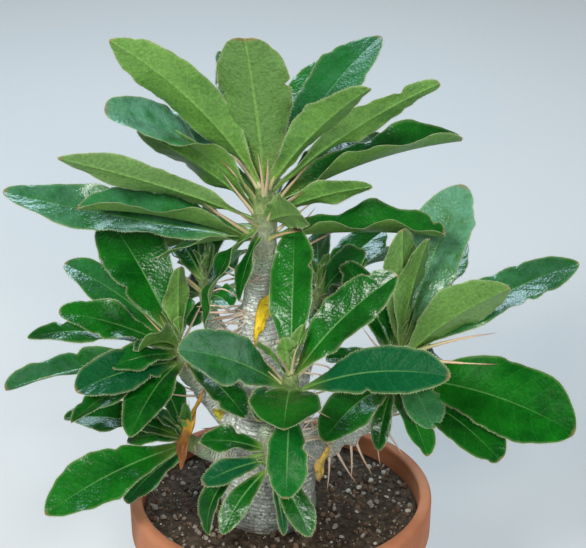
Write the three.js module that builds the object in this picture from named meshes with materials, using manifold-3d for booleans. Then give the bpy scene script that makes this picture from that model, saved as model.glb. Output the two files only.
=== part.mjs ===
// Potted kudu lily: a swollen grey trunk with seven side branches, rosettes of waved
// leaves and long paired spines, in a plain terracotta pot. Millimetres, +Z up,
// origin at the centre of the pot's foot, the photograph's viewer stands at -Y.
import * as THREE from 'three';
import Module from 'manifold-3d';

const wasm = await Module();
wasm.setup();

// Pot
const potHeight = 120;
const footRadius = 52;
const neckRadius = 69;
const rimRadius = 76;
const rimBand = 24;
const potWall = 6;
const potFloor = 9;
const floorFillet = 3;
const drainRadius = 5;
const drainCircle = 28;
const potSegments = 34;
// Soil
const soilTop = 110;
const soilRelief = 1.4;
const gap = 0.3;
// Trunk
const trunkX = -6;
const rootRadius = 24;
const rootBottom = 97;
const trunkSides = 16;
const branchSides = 8;
const sliver = 0.05;
// Leaves
const bladeThickness = 0.8;
const petioleShare = 0.1;
const fullness = 0.62;
const widestPower = 1.6;

const deg = Math.PI / 180;

// Vectors as [x, y, z]

const add = (a, b, k = 1) => [a[0] + b[0] * k, a[1] + b[1] * k, a[2] + b[2] * k];
const sub = (a, b) => add(a, b, -1);
const scale = (a, k) => [a[0] * k, a[1] * k, a[2] * k];
const mix = (a, b, t) => add(scale(a, 1 - t), b, t);
const cross = (a, b) => [
  a[1] * b[2] - a[2] * b[1],
  a[2] * b[0] - a[0] * b[2],
  a[0] * b[1] - a[1] * b[0],
];
const size = (a) => Math.hypot(...a);
const unit = (a) => scale(a, 1 / size(a));

function solid(points, triangles) {
  const mesh = new wasm.Mesh({
    numProp: 3,
    vertProperties: new Float32Array(points.flat()),
    triVerts: new Uint32Array(triangles.flat()),
  });
  return new wasm.Manifold(mesh);
}

// One body from many, without the slivers that crossing faces leave behind.
function fuse(bodies) {
  const whole = bodies.reduce((sum, body) => sum.add(body)).simplify(sliver);
  return whole.decompose().reduce((main, part) => (part.volume() > main.volume() ? part : main));
}

function nodeOf(name, body, colour, roughness) {
  const { vertProperties, triVerts } = body.getMesh();
  const geometry = new THREE.BufferGeometry();
  geometry.setAttribute('position', new THREE.BufferAttribute(new Float32Array(vertProperties), 3));
  geometry.setIndex([...triVerts]);
  geometry.computeVertexNormals();
  const material = new THREE.MeshStandardMaterial({ color: colour, roughness });
  const mesh = new THREE.Mesh(geometry, material);
  mesh.name = name;
  return mesh;
}

// Rings of equal point count joined into a closed skin, with a fan at each end.
function loft(rings) {
  const count = rings[0].length;
  const points = rings.flat();
  const triangles = [];
  for (let i = 0; i + 1 < rings.length; i += 1) {
    for (let j = 0; j < count; j += 1) {
      const next = (j + 1) % count;
      const a = i * count + j;
      const b = i * count + next;
      triangles.push([a, b, b + count], [a, b + count, a + count]);
    }
  }
  const last = (rings.length - 1) * count;
  for (let j = 1; j + 1 < count; j += 1) {
    triangles.push([0, j + 1, j], [last, last + j, last + j + 1]);
  }
  return solid(points, triangles);
}

// A body turned round the Z axis: outline of [radius, height] from its underside to its top.
function turned(outline, segments, moved = (point) => point) {
  return loft(outline.map(([radius, height]) => Array.from({ length: segments }, (_, j) => {
    const angle = (j / segments) * 2 * Math.PI;
    return moved([radius * Math.cos(angle), radius * Math.sin(angle), height], radius, angle);
  })));
}

// An upright round body, for holes.
function upright(radius, bottom, top, centre, sides) {
  const ring = (height) => Array.from({ length: sides }, (_, j) => {
    const angle = (j / sides) * 2 * Math.PI;
    return [centre[0] + radius * Math.cos(angle), centre[1] + radius * Math.sin(angle), height];
  });
  return loft([ring(bottom), ring(top)]);
}

// The point at a place along the stations, on a smooth curve through them all.
function smoothPoint(stations, place) {
  const last = stations.length - 1;
  const i = Math.min(Math.floor(place), last - 1);
  const f = place - i;
  const p1 = stations[i];
  const p2 = stations[i + 1];
  const beyond = (a, b) => a.map((value, k) => 2 * value - b[k]);
  const p0 = i > 0 ? stations[i - 1] : beyond(p1, p2);
  const p3 = i + 2 <= last ? stations[i + 2] : beyond(p2, p1);
  return p1.map((_, k) => 0.5 * (2 * p1[k] + (p2[k] - p0[k]) * f
    + (2 * p0[k] - 5 * p1[k] + 4 * p2[k] - p3[k]) * f * f
    + (3 * p1[k] - p0[k] - 3 * p2[k] + p3[k]) * f * f * f));
}

// A limb through its stations [x, y, z, radius]; relief(angle, height) swells the skin.
function limb(stations, sides, rings, relief = () => 1) {
  const last = stations.length - 1;
  const made = [];
  for (let i = 0; i <= rings; i += 1) {
    const place = (i / rings) * last;
    const [x, y, z, radius] = smoothPoint(stations, place);
    const before = smoothPoint(stations, Math.max(0, place - 0.05)).slice(0, 3);
    const after = smoothPoint(stations, Math.min(last, place + 0.05)).slice(0, 3);
    const along = unit(sub(after, before));
    const side = unit(cross([0, 1, 0], along));
    const front = cross(along, side);
    made.push(Array.from({ length: sides }, (_, j) => {
      const angle = (j / sides) * 2 * Math.PI;
      const reach = radius * relief(angle, z);
      const inPlane = add(scale(side, reach * Math.cos(angle)), front, reach * Math.sin(angle));
      return add([x, y, z], inPlane);
    }));
  }
  return loft(made);
}

// A three-sided spine with its root sunk in the wood.
function spine(root, tip, radius = 1.1) {
  const along = unit(sub(tip, root));
  const side = unit(cross(along, Math.abs(along[2]) > 0.8 ? [1, 0, 0] : [0, 0, 1]));
  const front = cross(along, side);
  const corners = [0, 120, 240].map((turn) => add(
    add(root, side, radius * Math.cos(turn * deg)),
    front,
    radius * Math.sin(turn * deg),
  ));
  return solid([...corners, tip], [[0, 2, 1], [0, 1, 3], [1, 2, 3], [2, 0, 3]]);
}

// Pairs of spines round a limb: [x, y, z] of the middle of the limb, heading, lift, length.
function spinePair([x, y, z], heading, lift, length, spread = 50) {
  return [-0.5, 0.5].map((half) => {
    const h = (heading + half * spread) * deg;
    const l = (lift + half * 14) * deg;
    const way = [Math.cos(h) * Math.cos(l), Math.sin(h) * Math.cos(l), Math.sin(l)];
    return spine([x, y, z], add([x, y, z], way, length));
  });
}

// Middle line of a leaf from root to tip: its direction turns down evenly by bend degrees,
// so chord = length * sin(bend / 2) / (bend / 2).
function midrib(root, tip, bend) {
  const chord = sub(tip, root);
  const half = (bend * deg) / 2;
  const length = (size(chord) * half) / Math.sin(half);
  const heading = Math.atan2(chord[1], chord[0]);
  const lift = Math.atan2(chord[2], Math.hypot(chord[0], chord[1])) + half;
  return (s) => {
    const turn = bend * deg * s;
    const level = (length * (Math.sin(lift) - Math.sin(lift - turn))) / (bend * deg);
    const rise = (length * (Math.cos(lift - turn) - Math.cos(lift))) / (bend * deg);
    const l = lift - turn;
    return {
      point: add(root, [Math.cos(heading) * level, Math.sin(heading) * level, rise]),
      side: [Math.sin(heading), -Math.cos(heading), 0],
      face: [-Math.cos(heading) * Math.sin(l), -Math.sin(heading) * Math.sin(l), Math.cos(l)],
    };
  };
}

function halfWidth(wide, s) {
  const blade = Math.sin(Math.PI * s ** widestPower) ** fullness;
  return (wide / 2) * Math.max(blade, petioleShare * (1 - s));
}

// A blade: rows from root to tip, columns across; the margin lifts by the fold and waves.
function blade(root, leaf) {
  const {
    tip, wide, bend = 30, roll = 0, twist = 0, wave = 2, waves = 2, phase = 0, fold = 12,
  } = leaf;
  const length = size(sub(tip, root));
  const rows = 3 + Math.round(length / 25);
  const columns = wide > 31 ? 4 : 2;
  const line = midrib(root, tip, bend);
  const top = [];
  const under = [];
  for (let i = 0; i <= rows; i += 1) {
    const s = (i / rows) ** 0.9;
    const { point, side, face } = line(s);
    const turn = (roll * Math.min(1, s / 0.35) + twist * s) * deg;
    const across = add(scale(side, Math.cos(turn)), face, Math.sin(turn));
    const out = add(scale(face, Math.cos(turn)), side, -Math.sin(turn));
    const reach = i === rows ? 0.3 : halfWidth(wide, s);
    for (let j = 0; j <= columns; j += 1) {
      const w = (2 * j) / columns - 1;
      const swing = Math.sin(2 * Math.PI * waves * s + phase + (w > 0 ? 0 : 2));
      const lift = Math.abs(w) * reach * Math.sin(fold * deg)
        + wave * Math.sin(Math.PI * s) * w * w * swing;
      const place = add(add(point, across, w * reach * Math.cos(fold * deg)), out, lift);
      top.push(add(place, out, bladeThickness / 2));
      under.push(add(place, out, -bladeThickness / 2));
    }
  }
  const stride = columns + 1;
  const triangles = [];
  const underside = top.length;
  const pair = (a, b, c) => triangles.push([a, b, c], [a + underside, c + underside, b + underside]);
  const wall = (a, b) => triangles.push([a, b, b + underside], [a, b + underside, a + underside]);
  for (let i = 0; i < rows; i += 1) {
    for (let j = 0; j < columns; j += 1) {
      const a = i * stride + j;
      pair(a, a + 1, a + stride);
      pair(a + 1, a + 1 + stride, a + stride);
    }
    wall((i + 1) * stride + columns, i * stride + columns);
    wall(i * stride, (i + 1) * stride);
  }
  for (let j = 0; j < columns; j += 1) {
    wall(j + 1, j);
    wall(rows * stride + j, rows * stride + j + 1);
  }
  return solid([...top, ...under], triangles);
}

// The woody limb that carries a rosette: it ends square to the rosette's own stem.
function arm({ branch, bottom, top, radius }, sides, rings, relief) {
  const along = unit(sub(top, bottom));
  const straight = [...add(bottom, along, -5), radius + 0.5];
  return limb([...branch, straight, [...bottom, radius + 0.3]], sides, rings, relief);
}

// A green stem tip with its leaves; a leaf's "at" runs from the stem's bottom to its top.
function rosette({ bottom, top, radius, leaves, spines }) {
  const along = unit(sub(top, bottom));
  const stem = limb([
    [...add(bottom, along, gap), radius],
    [...mix(bottom, top, 0.55), radius],
    [...top, radius * 0.55],
  ], branchSides, 3);
  const blades = leaves.map((leaf) => blade(mix(bottom, top, 0.12 + 0.8 * leaf.at), leaf));
  const thorns = spines.flatMap(({ at, heading, lift, length, spread }) => (
    spinePair(mix(bottom, top, at), heading, lift, length, spread)
  ));
  return fuse([stem, ...thorns, ...blades]);
}

// The layout was read from the photograph at 0.48 mm a pixel.

// Spines on the wood: middle of the limb, heading, lift and length of each pair.
const woodSpines = [
  [[-9, 2, 214], 205, 28, 26],
  [[-9, 2, 226], 335, 10, 28],
  [[-9, 2, 200], 250, 15, 32],
  [[-9, 2, 220], 195, 0, 34],
  [[-8, 3, 232], 170, 20, 26],
  [[-8, 3, 240], 18, 36, 40, 24],
  [[-8, 3, 238], 225, 5, 26],
  [[-9, 2, 206], 60, 25, 28],
  [[-8, 3, 230], 90, 20, 26],
  [[-8, 2, 190], 120, 20, 32],
  [[-8, 2, 186], 20, 25, 34],
  [[-7, 1, 172], 260, 20, 36],
  [[-6, 1, 150], 300, -5, 38],
  [[-6, 1, 150], 180, 0, 38],
  [[-6, 1, 146], 60, 5, 38],
  [[-6, 1, 158], 130, 15, 36],
  [[-33, -3, 175], 170, 5, 26],
  [[-30, -14, 149], 290, -15, 26],
  [[6, -32, 165], 330, 5, 26],
  [[6, -41, 180], 30, 20, 24],
  [[-7, -26, 163], 215, 0, 22],
  [[24, -16, 158], 290, -50, 26],
  [[34, -18, 165], 300, -65, 26],
  [[46, -19, 174], 310, -60, 26],
  [[42, -19, 171], 40, 10, 28],
  [[12, 24, 185], 30, 10, 26],
  [[-28, 24, 190], 180, 5, 26],
];

const crown = {
  branch: [
    [trunkX, 0, rootBottom, rootRadius],
    [trunkX, 0, 112, rootRadius],
    [trunkX, 0, 127, rootRadius],
    [-6, 1, 146, 22.5],
    [-7, 1, 168, 17.5],
    [-10, 2, 190, 13.5],
    [-10, 2, 215, 10.2],
    [-9, 3, 230, 8.2],
  ],
  bottom: [-8, 2, 251],
  top: [-7, 0, 286],
  radius: 6,
  leaves: [
    { at: 0.95, tip: [-75, -28, 367], wide: 27, bend: 27, roll: -60, phase: 0.5 },
    { at: 0.75, tip: [-84, 54, 306], wide: 26, bend: 30, roll: 10, phase: 1.5 },
    { at: 0.55, tip: [-79, -22, 332], wide: 30, bend: 40, roll: -55, twist: 95, wave: 3, fold: 15 },
    { at: 0.5, tip: [-66, -4, 315], wide: 28, bend: 20, roll: -50 },
    { at: 0.4, tip: [-101, -26, 310], wide: 19, bend: 10, roll: -60, phase: 2 },
    { at: 0, tip: [-95, -8, 277], wide: 32, bend: 25, wave: 3, phase: 1, fold: 40 },
    { at: 0.1, tip: [-133, 16, 276], wide: 25, bend: -8, roll: 30, wave: 3 },
    { at: 1, tip: [-15, -32, 369], wide: 35, bend: 15, roll: -5, wave: 1.5 },
    { at: 0.95, tip: [-28, 74, 326], wide: 26, bend: 25, roll: -25, phase: 1 },
    { at: 0.9, tip: [49, 64, 338], wide: 28, bend: 30, roll: -5, phase: 2.5 },
    { at: 0.95, tip: [40, -38, 348], wide: 22, bend: 20, roll: 35, phase: 0.8, fold: 25 },
    { at: 0.85, tip: [73, -9, 340], wide: 18, bend: 20, roll: 60, wave: 2.5, phase: 1.2 },
    { at: 0.6, tip: [87, 24, 299], wide: 30, bend: 30, roll: 5, wave: 3, phase: 2.2, fold: 42 },
    { at: 0.4, tip: [10, -33, 285], wide: 20, bend: 15, roll: 60, wave: 1 },
    { at: 0.5, tip: [43, -14, 291], wide: 15, bend: 20, roll: 60, phase: 1 },
    { at: 0.1, tip: [78, -6, 262], wide: 31, bend: 18, wave: 2.5, waves: 3, phase: 1, fold: 40 },
    { at: 0.35, tip: [-35, -26, 222], wide: 20, bend: 85, roll: -35, waves: 3 },
    { at: 0.2, tip: [-19, -31, 240], wide: 12, bend: 70, roll: -40, wave: 1 },
    { at: 0.05, tip: [-58, -5, 250], wide: 18, bend: 45, roll: -20, wave: 1.5 },
    { at: 0.3, tip: [-61, 37, 236], wide: 22, bend: 40, roll: -40, phase: 1 },
    { at: 0.7, tip: [8, 82, 302], wide: 22, bend: 30, roll: 25, phase: 2 },
    { at: 0.8, tip: [27, 82, 320], wide: 26, bend: 30, phase: 1 },
    { at: 0.4, tip: [52, 70, 284], wide: 23, bend: 40 },
    { at: 0.2, tip: [-10, 82, 256], wide: 22, bend: 40, phase: 1 },
  ],
  spines: [
    { at: 0.12, heading: 190, lift: 34, length: 44 },
    { at: 0.15, heading: 330, lift: 35, length: 34 },
    { at: 0.3, heading: 265, lift: 45, length: 34 },
    { at: 0.4, heading: 180, lift: 48, length: 36 },
    { at: 0.5, heading: 335, lift: 45, length: 38 },
    { at: 0.62, heading: 235, lift: 60, length: 38 },
    { at: 0.74, heading: 300, lift: 62, length: 38 },
    { at: 0.45, heading: 70, lift: 45, length: 36 },
    { at: 0.65, heading: 120, lift: 60, length: 36 },
    { at: 0.85, heading: 192, lift: 60, length: 44, spread: 24 },
    { at: 0.9, heading: 20, lift: 66, length: 42, spread: 30 },
  ],
};

const left = {
  branch: [[-10, 0, 150, 12], [-31, -3, 172, 6.5], [-40, -3, 183, 5.2]],
  bottom: [-46, -3, 192],
  top: [-50, -4, 205],
  radius: 4.4,
  leaves: [
    { at: 0.9, tip: [-86, 40, 253], wide: 33, bend: 25, roll: 20, wave: 1.5, phase: 0.4 },
    { at: 0.7, tip: [-106, 22, 235], wide: 23, bend: 30, roll: 20, phase: 1.4 },
    { at: 0.5, tip: [-105, -18, 228], wide: 21, bend: 25, roll: 30, wave: 2.5 },
    { at: 0.3, tip: [-125, 13, 199], wide: 16, bend: 45, roll: 20, phase: 1 },
    { at: 0.1, tip: [-129, -42, 199], wide: 21, bend: 25, roll: 10, wave: 2.5, phase: 2, fold: 32 },
    { at: 0, tip: [-95, -49, 202], wide: 23, bend: 25, roll: 30, wave: 1.2 },
    { at: 0, tip: [-98, -50, 186], wide: 18, bend: 35 },
    { at: 0.1, tip: [-70, -57, 182], wide: 23, bend: 50, roll: -5, wave: 1.5, phase: 1 },
    { at: 0.8, tip: [-67, -31, 214], wide: 19, bend: 55, roll: -45, fold: 30 },
    { at: 0.4, tip: [-80, -30, 205], wide: 15, bend: 30, roll: 25 },
    { at: 1, tip: [-50, 34, 222], wide: 15, bend: 20, roll: -50 },
    { at: 0.7, tip: [-68, 50, 224], wide: 19, bend: 40, roll: -30 },
    { at: 0.4, tip: [-80, 58, 210], wide: 18, bend: 35, phase: 1 },
    { at: 0.2, tip: [-104, 36, 196], wide: 19, bend: 35, phase: 2 },
    { at: 0.1, tip: [-16, -42, 184], wide: 17, bend: 35, roll: -15, wave: 1.5, phase: 1 },
    { at: 0.8, tip: [-48, -6, 246], wide: 15, bend: 20, roll: -20, wave: 1.2, phase: 1 },
  ],
  spines: [
    { at: 0.1, heading: 250, lift: 15, length: 28 },
    { at: 0.3, heading: 330, lift: 30, length: 28 },
    { at: 0.6, heading: 200, lift: 55, length: 28 },
    { at: 0.7, heading: 80, lift: 50, length: 28 },
  ],
};

const lowLeft = {
  branch: [[-12, -6, 140, 10], [-27, -12, 147, 6]],
  bottom: [-40, -18, 155],
  top: [-47, -22, 161],
  radius: 4.2,
  leaves: [
    { at: 0.4, tip: [-111, -62, 143], wide: 28, bend: 27, roll: 25, phase: 1.5 },
    { at: 0.2, tip: [-75, -36, 134], wide: 16, bend: 35, roll: 20, wave: 1.2 },
    { at: 0.75, tip: [-76, -5, 151], wide: 13, bend: 40, roll: 30, wave: 1.2 },
    { at: 0.9, tip: [-60, 4, 184], wide: 16, bend: 30, roll: -10, wave: 1.2 },
    { at: 0.6, tip: [-105, -20, 172], wide: 20, bend: 40, roll: 15 },
    { at: 1, tip: [-62, -26, 180], wide: 10, bend: 20, roll: 15, wave: 1 },
    { at: 0.5, tip: [-84, 18, 158], wide: 16, bend: 35 },
  ],
  spines: [
    { at: 0.3, heading: 300, lift: 25, length: 24 },
    { at: 0.5, heading: 120, lift: 40, length: 24 },
  ],
};

const front = {
  branch: [[2, -12, 142, 9], [6, -32, 165, 5.2]],
  bottom: [5, -49, 193],
  top: [5, -55, 215],
  radius: 4.2,
  leaves: [
    { at: 0.9, tip: [7, -6, 266], wide: 24, bend: 15, roll: 20, wave: 1.2 },
    { at: 0.4, tip: [-46, -71, 235], wide: 27, bend: 35, roll: 45, phase: 1 },
    { at: 0.7, tip: [54, -47, 261], wide: 24, bend: 30, roll: -40, wave: 1.6, phase: 0.5 },
    { at: 0.3, tip: [77, -78, 225], wide: 24, bend: 40, roll: -45, wave: 1.5 },
    { at: 0.5, tip: [2, -96, 208], wide: 32, bend: 40, wave: 0.8 },
    { at: 1, tip: [11, -55, 240], wide: 10, bend: 10, roll: 45, wave: 1 },
    { at: 1, tip: [2, -60, 236], wide: 9, bend: 10, roll: -40, wave: 1 },
    { at: 0.8, tip: [-11, -33, 218], wide: 11, bend: 50, roll: -60, wave: 1 },
    { at: 0.2, tip: [-10, -84, 206], wide: 18, bend: 40, roll: 25, wave: 1 },
    { at: 0, tip: [3, -84, 165], wide: 20, bend: 60, wave: 1 },
  ],
  spines: [
    { at: 0.2, heading: 340, lift: 10, length: 26 },
    { at: 0.5, heading: 160, lift: 35, length: 26 },
    { at: 0.7, heading: 60, lift: 40, length: 26 },
    { at: 0.9, heading: 270, lift: 60, length: 24 },
  ],
};

const lowFront = {
  branch: [[-6, -14, 142, 7], [-7, -26, 163, 4.6]],
  bottom: [-6, -38, 169],
  top: [-4, -52, 160],
  radius: 3.2,
  leaves: [
    { at: 0.3, tip: [-38, -43, 172], wide: 16, bend: 40, roll: 20, wave: 2 },
    { at: 0.6, tip: [-36, -64, 161], wide: 13, bend: 30, roll: 30, wave: 1 },
    { at: 0.3, tip: [-34, -56, 128], wide: 13, bend: 100, roll: 20, wave: 1, fold: 25 },
    { at: 0.9, tip: [-27, -76, 141], wide: 12, bend: 50, roll: 25, wave: 1 },
    { at: 0.9, tip: [14, -72, 137], wide: 14, bend: 40, roll: -20, wave: 1 },
    { at: 1, tip: [2, -66, 134], wide: 7, bend: 30, roll: 20, wave: 0.8 },
  ],
  spines: [
    { at: 0.3, heading: 240, lift: -20, length: 18 },
    { at: 0.1, heading: 320, lift: -10, length: 20 },
  ],
};

const right = {
  branch: [[8, -8, 145, 11], [24, -16, 158, 6.5], [42, -19, 170, 5.6]],
  bottom: [54, -17, 182],
  top: [58, -10, 206],
  radius: 4.4,
  leaves: [
    { at: 1, tip: [57, -20, 272], wide: 21, bend: 15, roll: -40, wave: 1.2 },
    { at: 0.9, tip: [70, -8, 262], wide: 23, bend: 15, roll: 50, wave: 1.5 },
    { at: 0.9, tip: [90, 36, 271], wide: 32, bend: 20, roll: -14, wave: 1.5 },
    { at: 0.7, tip: [109, -16, 240], wide: 33, bend: 25, roll: 60, wave: 1.5 },
    { at: 0.7, tip: [147, 25, 234], wide: 25, bend: 25, roll: -25 },
    { at: 0.3, tip: [139, -48, 179], wide: 40, bend: 35, roll: -35, wave: 2.5, phase: 1 },
    { at: 0.1, tip: [104, -51, 166], wide: 27, bend: 40, roll: -15 },
    { at: 0.5, tip: [72, -44, 179], wide: 22, bend: 60, wave: 1.2 },
    { at: 0, tip: [69, -59, 173], wide: 18, bend: 50, roll: 20, wave: 1.2 },
    { at: 0.1, tip: [20, -68, 186], wide: 22, bend: 45, roll: 20, wave: 1.2 },
    { at: 0.7, tip: [98, 52, 152], wide: 20, bend: 35, roll: -15 },
    { at: 0.7, tip: [92, 46, 236], wide: 22, bend: 35, phase: 1 },
    { at: 0.5, tip: [58, 54, 218], wide: 20, bend: 35, phase: 2 },
    { at: 0.3, tip: [84, 62, 214], wide: 20, bend: 40, phase: 1 },
    { at: 0.1, tip: [47, -38, 164], wide: 10, bend: 70, wave: 1 },
    { at: 0.6, tip: [31, 14, 239], wide: 20, bend: 30, roll: 15, wave: 1.5 },
    { at: 0.4, tip: [22, -12, 200], wide: 17, bend: 40, roll: 10, wave: 1.5, phase: 2 },
  ],
  spines: [
    { at: 0.8, heading: 350, lift: 10, length: 49, spread: 12 },
    { at: 0.3, heading: 210, lift: 20, length: 28 },
    { at: 0.6, heading: 160, lift: 45, length: 28 },
    { at: 0.8, heading: 60, lift: 45, length: 28 },
  ],
};

const backRight = {
  branch: [[4, 10, 165, 9], [12, 24, 185, 5.5]],
  bottom: [18, 33, 200],
  top: [19, 36, 215],
  radius: 4,
  leaves: [
    { at: 0.8, tip: [52, 66, 233], wide: 22, bend: 25, roll: -15, wave: 1.5 },
    { at: 0.4, tip: [60, 76, 220], wide: 20, bend: 25, roll: 15, phase: 2 },
    { at: 0.5, tip: [42, 24, 240], wide: 19, bend: 30, roll: -50 },
    { at: 0.2, tip: [31, 4, 221], wide: 18, bend: 40, roll: -45 },
    { at: 0.9, tip: [19, 82, 226], wide: 20, bend: 20, roll: 40 },
    { at: 0.5, tip: [4, 80, 212], wide: 19, bend: 40, roll: -40 },
    { at: 0.2, tip: [34, 82, 202], wide: 18, bend: 35, phase: 1 },
    { at: 0.1, tip: [22, 1, 210], wide: 15, bend: 45, roll: -20, wave: 1.5 },
    { at: 0.1, tip: [-2, 68, 196], wide: 16, bend: 40 },
  ],
  spines: [
    { at: 0.4, heading: 350, lift: 40, length: 30 },
    { at: 0.5, heading: 110, lift: 40, length: 28 },
  ],
};

const backLeft = {
  branch: [[-14, 10, 165, 9], [-28, 24, 190, 5.5]],
  bottom: [-36, 33, 206],
  top: [-38, 36, 220],
  radius: 4,
  leaves: [
    { at: 0.8, tip: [-60, 74, 236], wide: 18, bend: 30, roll: 15 },
    { at: 0.4, tip: [-66, 60, 190], wide: 19, bend: 30, roll: 30 },
    { at: 0.9, tip: [-36, 82, 240], wide: 16, bend: 25, roll: -30 },
    { at: 0.5, tip: [-18, 76, 218], wide: 19, bend: 30, roll: 20 },
    { at: 0.2, tip: [-56, 74, 196], wide: 15, bend: 50, roll: 20 },
    { at: 0.3, tip: [-24, 12, 216], wide: 16, bend: 50, roll: -20, wave: 1.5 },
    { at: 0.1, tip: [-46, 26, 199], wide: 15, bend: 50, wave: 1.5 },
    { at: 0.6, tip: [-52, 88, 216], wide: 19, bend: 30, phase: 2 },
    { at: 0.1, tip: [-28, 78, 194], wide: 19, bend: 40, phase: 1 },
  ],
  spines: [
    { at: 0.4, heading: 190, lift: 40, length: 28 },
    { at: 0.6, heading: 70, lift: 45, length: 28 },
  ],
};

// Dead leaves that hang against the wood: upper end, tip, and the blade's own numbers.
const witheredLeaves = {
  withered_leaf_trunk: {
    root: [-12, -9.5, 206], colour: 0xd8b42a,
    leaf: { tip: [-2, -13, 236], wide: 9, bend: 20, roll: 65, wave: 1.2, fold: 30 },
  },
  withered_leaf_left: {
    root: [-37, -8.9, 182], colour: 0xa4581e,
    leaf: { tip: [-48, -32, 150], wide: 7, bend: 50, roll: 10, wave: 1.6, waves: 3, fold: 40 },
  },
  yellow_leaf_left: {
    root: [-30, -9.1, 164], colour: 0xc9b53a,
    leaf: { tip: [-30, -17, 175], wide: 7, bend: 30, wave: 1, fold: 20 },
  },
  withered_leaf_right: {
    root: [25, -22.8, 160], colour: 0xc8b040,
    leaf: { tip: [19, -30, 142], wide: 6, bend: 40, wave: 1.2, fold: 35 },
  },
};

const leafGreen = 0x2f7a2c;
const rosettes = {
  crown_leaves: [crown, 0x3f8a34],
  left_leaves: [left, leafGreen],
  low_left_leaves: [lowLeft, leafGreen],
  front_leaves: [front, leafGreen],
  low_front_leaves: [lowFront, leafGreen],
  right_leaves: [right, leafGreen],
  back_right_leaves: [backRight, leafGreen],
  back_left_leaves: [backLeft, leafGreen],
};

// Inner radius of the pot's wall below the rim band.
function potInside(height) {
  const bandBottom = potHeight - rimBand;
  const slope = (neckRadius - footRadius) / bandBottom;
  return neckRadius - potWall - (bandBottom - height) * slope;
}

function makePot() {
  const lip = 2.5;
  const bandBottom = potHeight - rimBand;
  const outline = [
    [footRadius - 1.5, 0],
    [footRadius, 2],
    [neckRadius, bandBottom - 4],
    [rimRadius - 1.5, bandBottom],
    [rimRadius - 0.5, bandBottom + 3],
    [rimRadius, potHeight - lip],
    [rimRadius - lip * 0.3, potHeight - lip * 0.3],
    [rimRadius - lip, potHeight],
    [rimRadius - potWall, potHeight - 0.4],
    [rimRadius - potWall - 1, bandBottom + 2],
    [potInside(bandBottom - 4), bandBottom - 4],
    [potInside(potFloor + 4), potFloor + 4],
    [potInside(potFloor) - floorFillet, potFloor],
  ];
  let pot = turned(outline, potSegments);
  for (let k = 0; k < 4; k += 1) {
    const angle = (k * 90 + 45) * deg;
    const centre = [drainCircle * Math.cos(angle), drainCircle * Math.sin(angle)];
    pot = pot.subtract(upright(drainRadius, -1, potFloor + 1, centre, 12));
  }
  return pot;
}

// Potting mix: level at the wall, with a plain round hole where the trunk's foot stands.
function makeSoil() {
  const bandBottom = potHeight - rimBand;
  const hole = rootRadius + gap + 0.1;
  const bed = potFloor + gap;
  const edge = rimRadius - potWall - 1 - gap;
  const level = 60;
  const outline = [
    [potInside(bed) - floorFillet - gap, bed],
    [potInside(potFloor + 4) - gap, potFloor + 4 + gap],
    [potInside(bandBottom - 4) - gap, bandBottom - 4],
    [edge, bandBottom + 3],
    [edge, soilTop],
    [level, soilTop],
    [47, soilTop],
    [35, soilTop],
    [hole, soilTop],
    [hole, rootBottom - gap],
  ];
  const moved = ([x, y, z], radius, angle) => {
    if (z < rootBottom - 1 || radius > level) return [x, y, z];
    const share = Math.max(0, (radius - hole) / (level - hole));
    const bump = Math.sin(5 * angle + radius / 4) * Math.cos(3 * angle - radius / 7);
    const relief = soilRelief * bump * Math.min(1, 4 * share) * Math.min(1, 4 * (1 - share));
    return [x + trunkX * (1 - share), y, z + relief];
  };
  return turned(outline, potSegments, moved);
}

function makeTrunk() {
  const swell = (angle, height) => {
    const fade = Math.min(1, Math.max(0, (height - soilTop - 4) / 20));
    const lobes = 0.07 * Math.cos(3 * angle + height / 30) + 0.04 * Math.cos(5 * angle - height / 11);
    return 1 + fade * lobes;
  };
  const stem = arm(crown, trunkSides, 18, swell);
  const arms = Object.values(rosettes).map(([plan]) => plan).filter((plan) => plan !== crown)
    .map((plan) => arm(plan, branchSides, 5));
  const thorns = woodSpines.flatMap((pair) => spinePair(...pair));
  return fuse([stem, ...arms, ...thorns]);
}

const plant = new THREE.Group();
plant.name = 'potted_kudu_lily';
plant.add(nodeOf('pot', makePot(), 0xb5643c, 0.85));
plant.add(nodeOf('soil', makeSoil(), 0x4a3828, 0.95));
plant.add(nodeOf('trunk', makeTrunk(), 0xa69c90, 0.7));
for (const [name, [plan, colour]] of Object.entries(rosettes)) {
  plant.add(nodeOf(name, rosette(plan), colour, 0.35));
}
for (const [name, { root, leaf, colour }] of Object.entries(witheredLeaves)) {
  plant.add(nodeOf(name, blade(root, leaf), colour, 0.8));
}

export default plant;
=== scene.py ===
import math

import bmesh
import bpy
import numpy as np
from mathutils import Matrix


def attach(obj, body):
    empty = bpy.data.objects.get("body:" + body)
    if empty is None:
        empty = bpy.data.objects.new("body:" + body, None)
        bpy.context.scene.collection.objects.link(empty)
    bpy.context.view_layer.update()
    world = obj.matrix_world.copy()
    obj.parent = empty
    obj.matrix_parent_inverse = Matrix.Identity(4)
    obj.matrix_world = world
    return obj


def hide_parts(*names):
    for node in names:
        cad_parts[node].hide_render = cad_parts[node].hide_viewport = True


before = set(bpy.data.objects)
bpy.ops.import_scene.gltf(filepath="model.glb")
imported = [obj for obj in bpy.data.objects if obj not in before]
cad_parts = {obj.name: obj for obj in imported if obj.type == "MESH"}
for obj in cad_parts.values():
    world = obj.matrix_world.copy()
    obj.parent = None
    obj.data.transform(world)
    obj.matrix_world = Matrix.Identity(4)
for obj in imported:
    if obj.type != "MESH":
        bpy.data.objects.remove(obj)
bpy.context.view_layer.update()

mm = 0.001  # the tables below are in millimetres, the meshes in metres

studio = {
    "target": (6.2, 0.0, 239.7),
    "elevation": 25.0,
    "distance": 1000.0,
    "frameWide": 281.28,  # millimetres across the picture at the target
}


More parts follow.
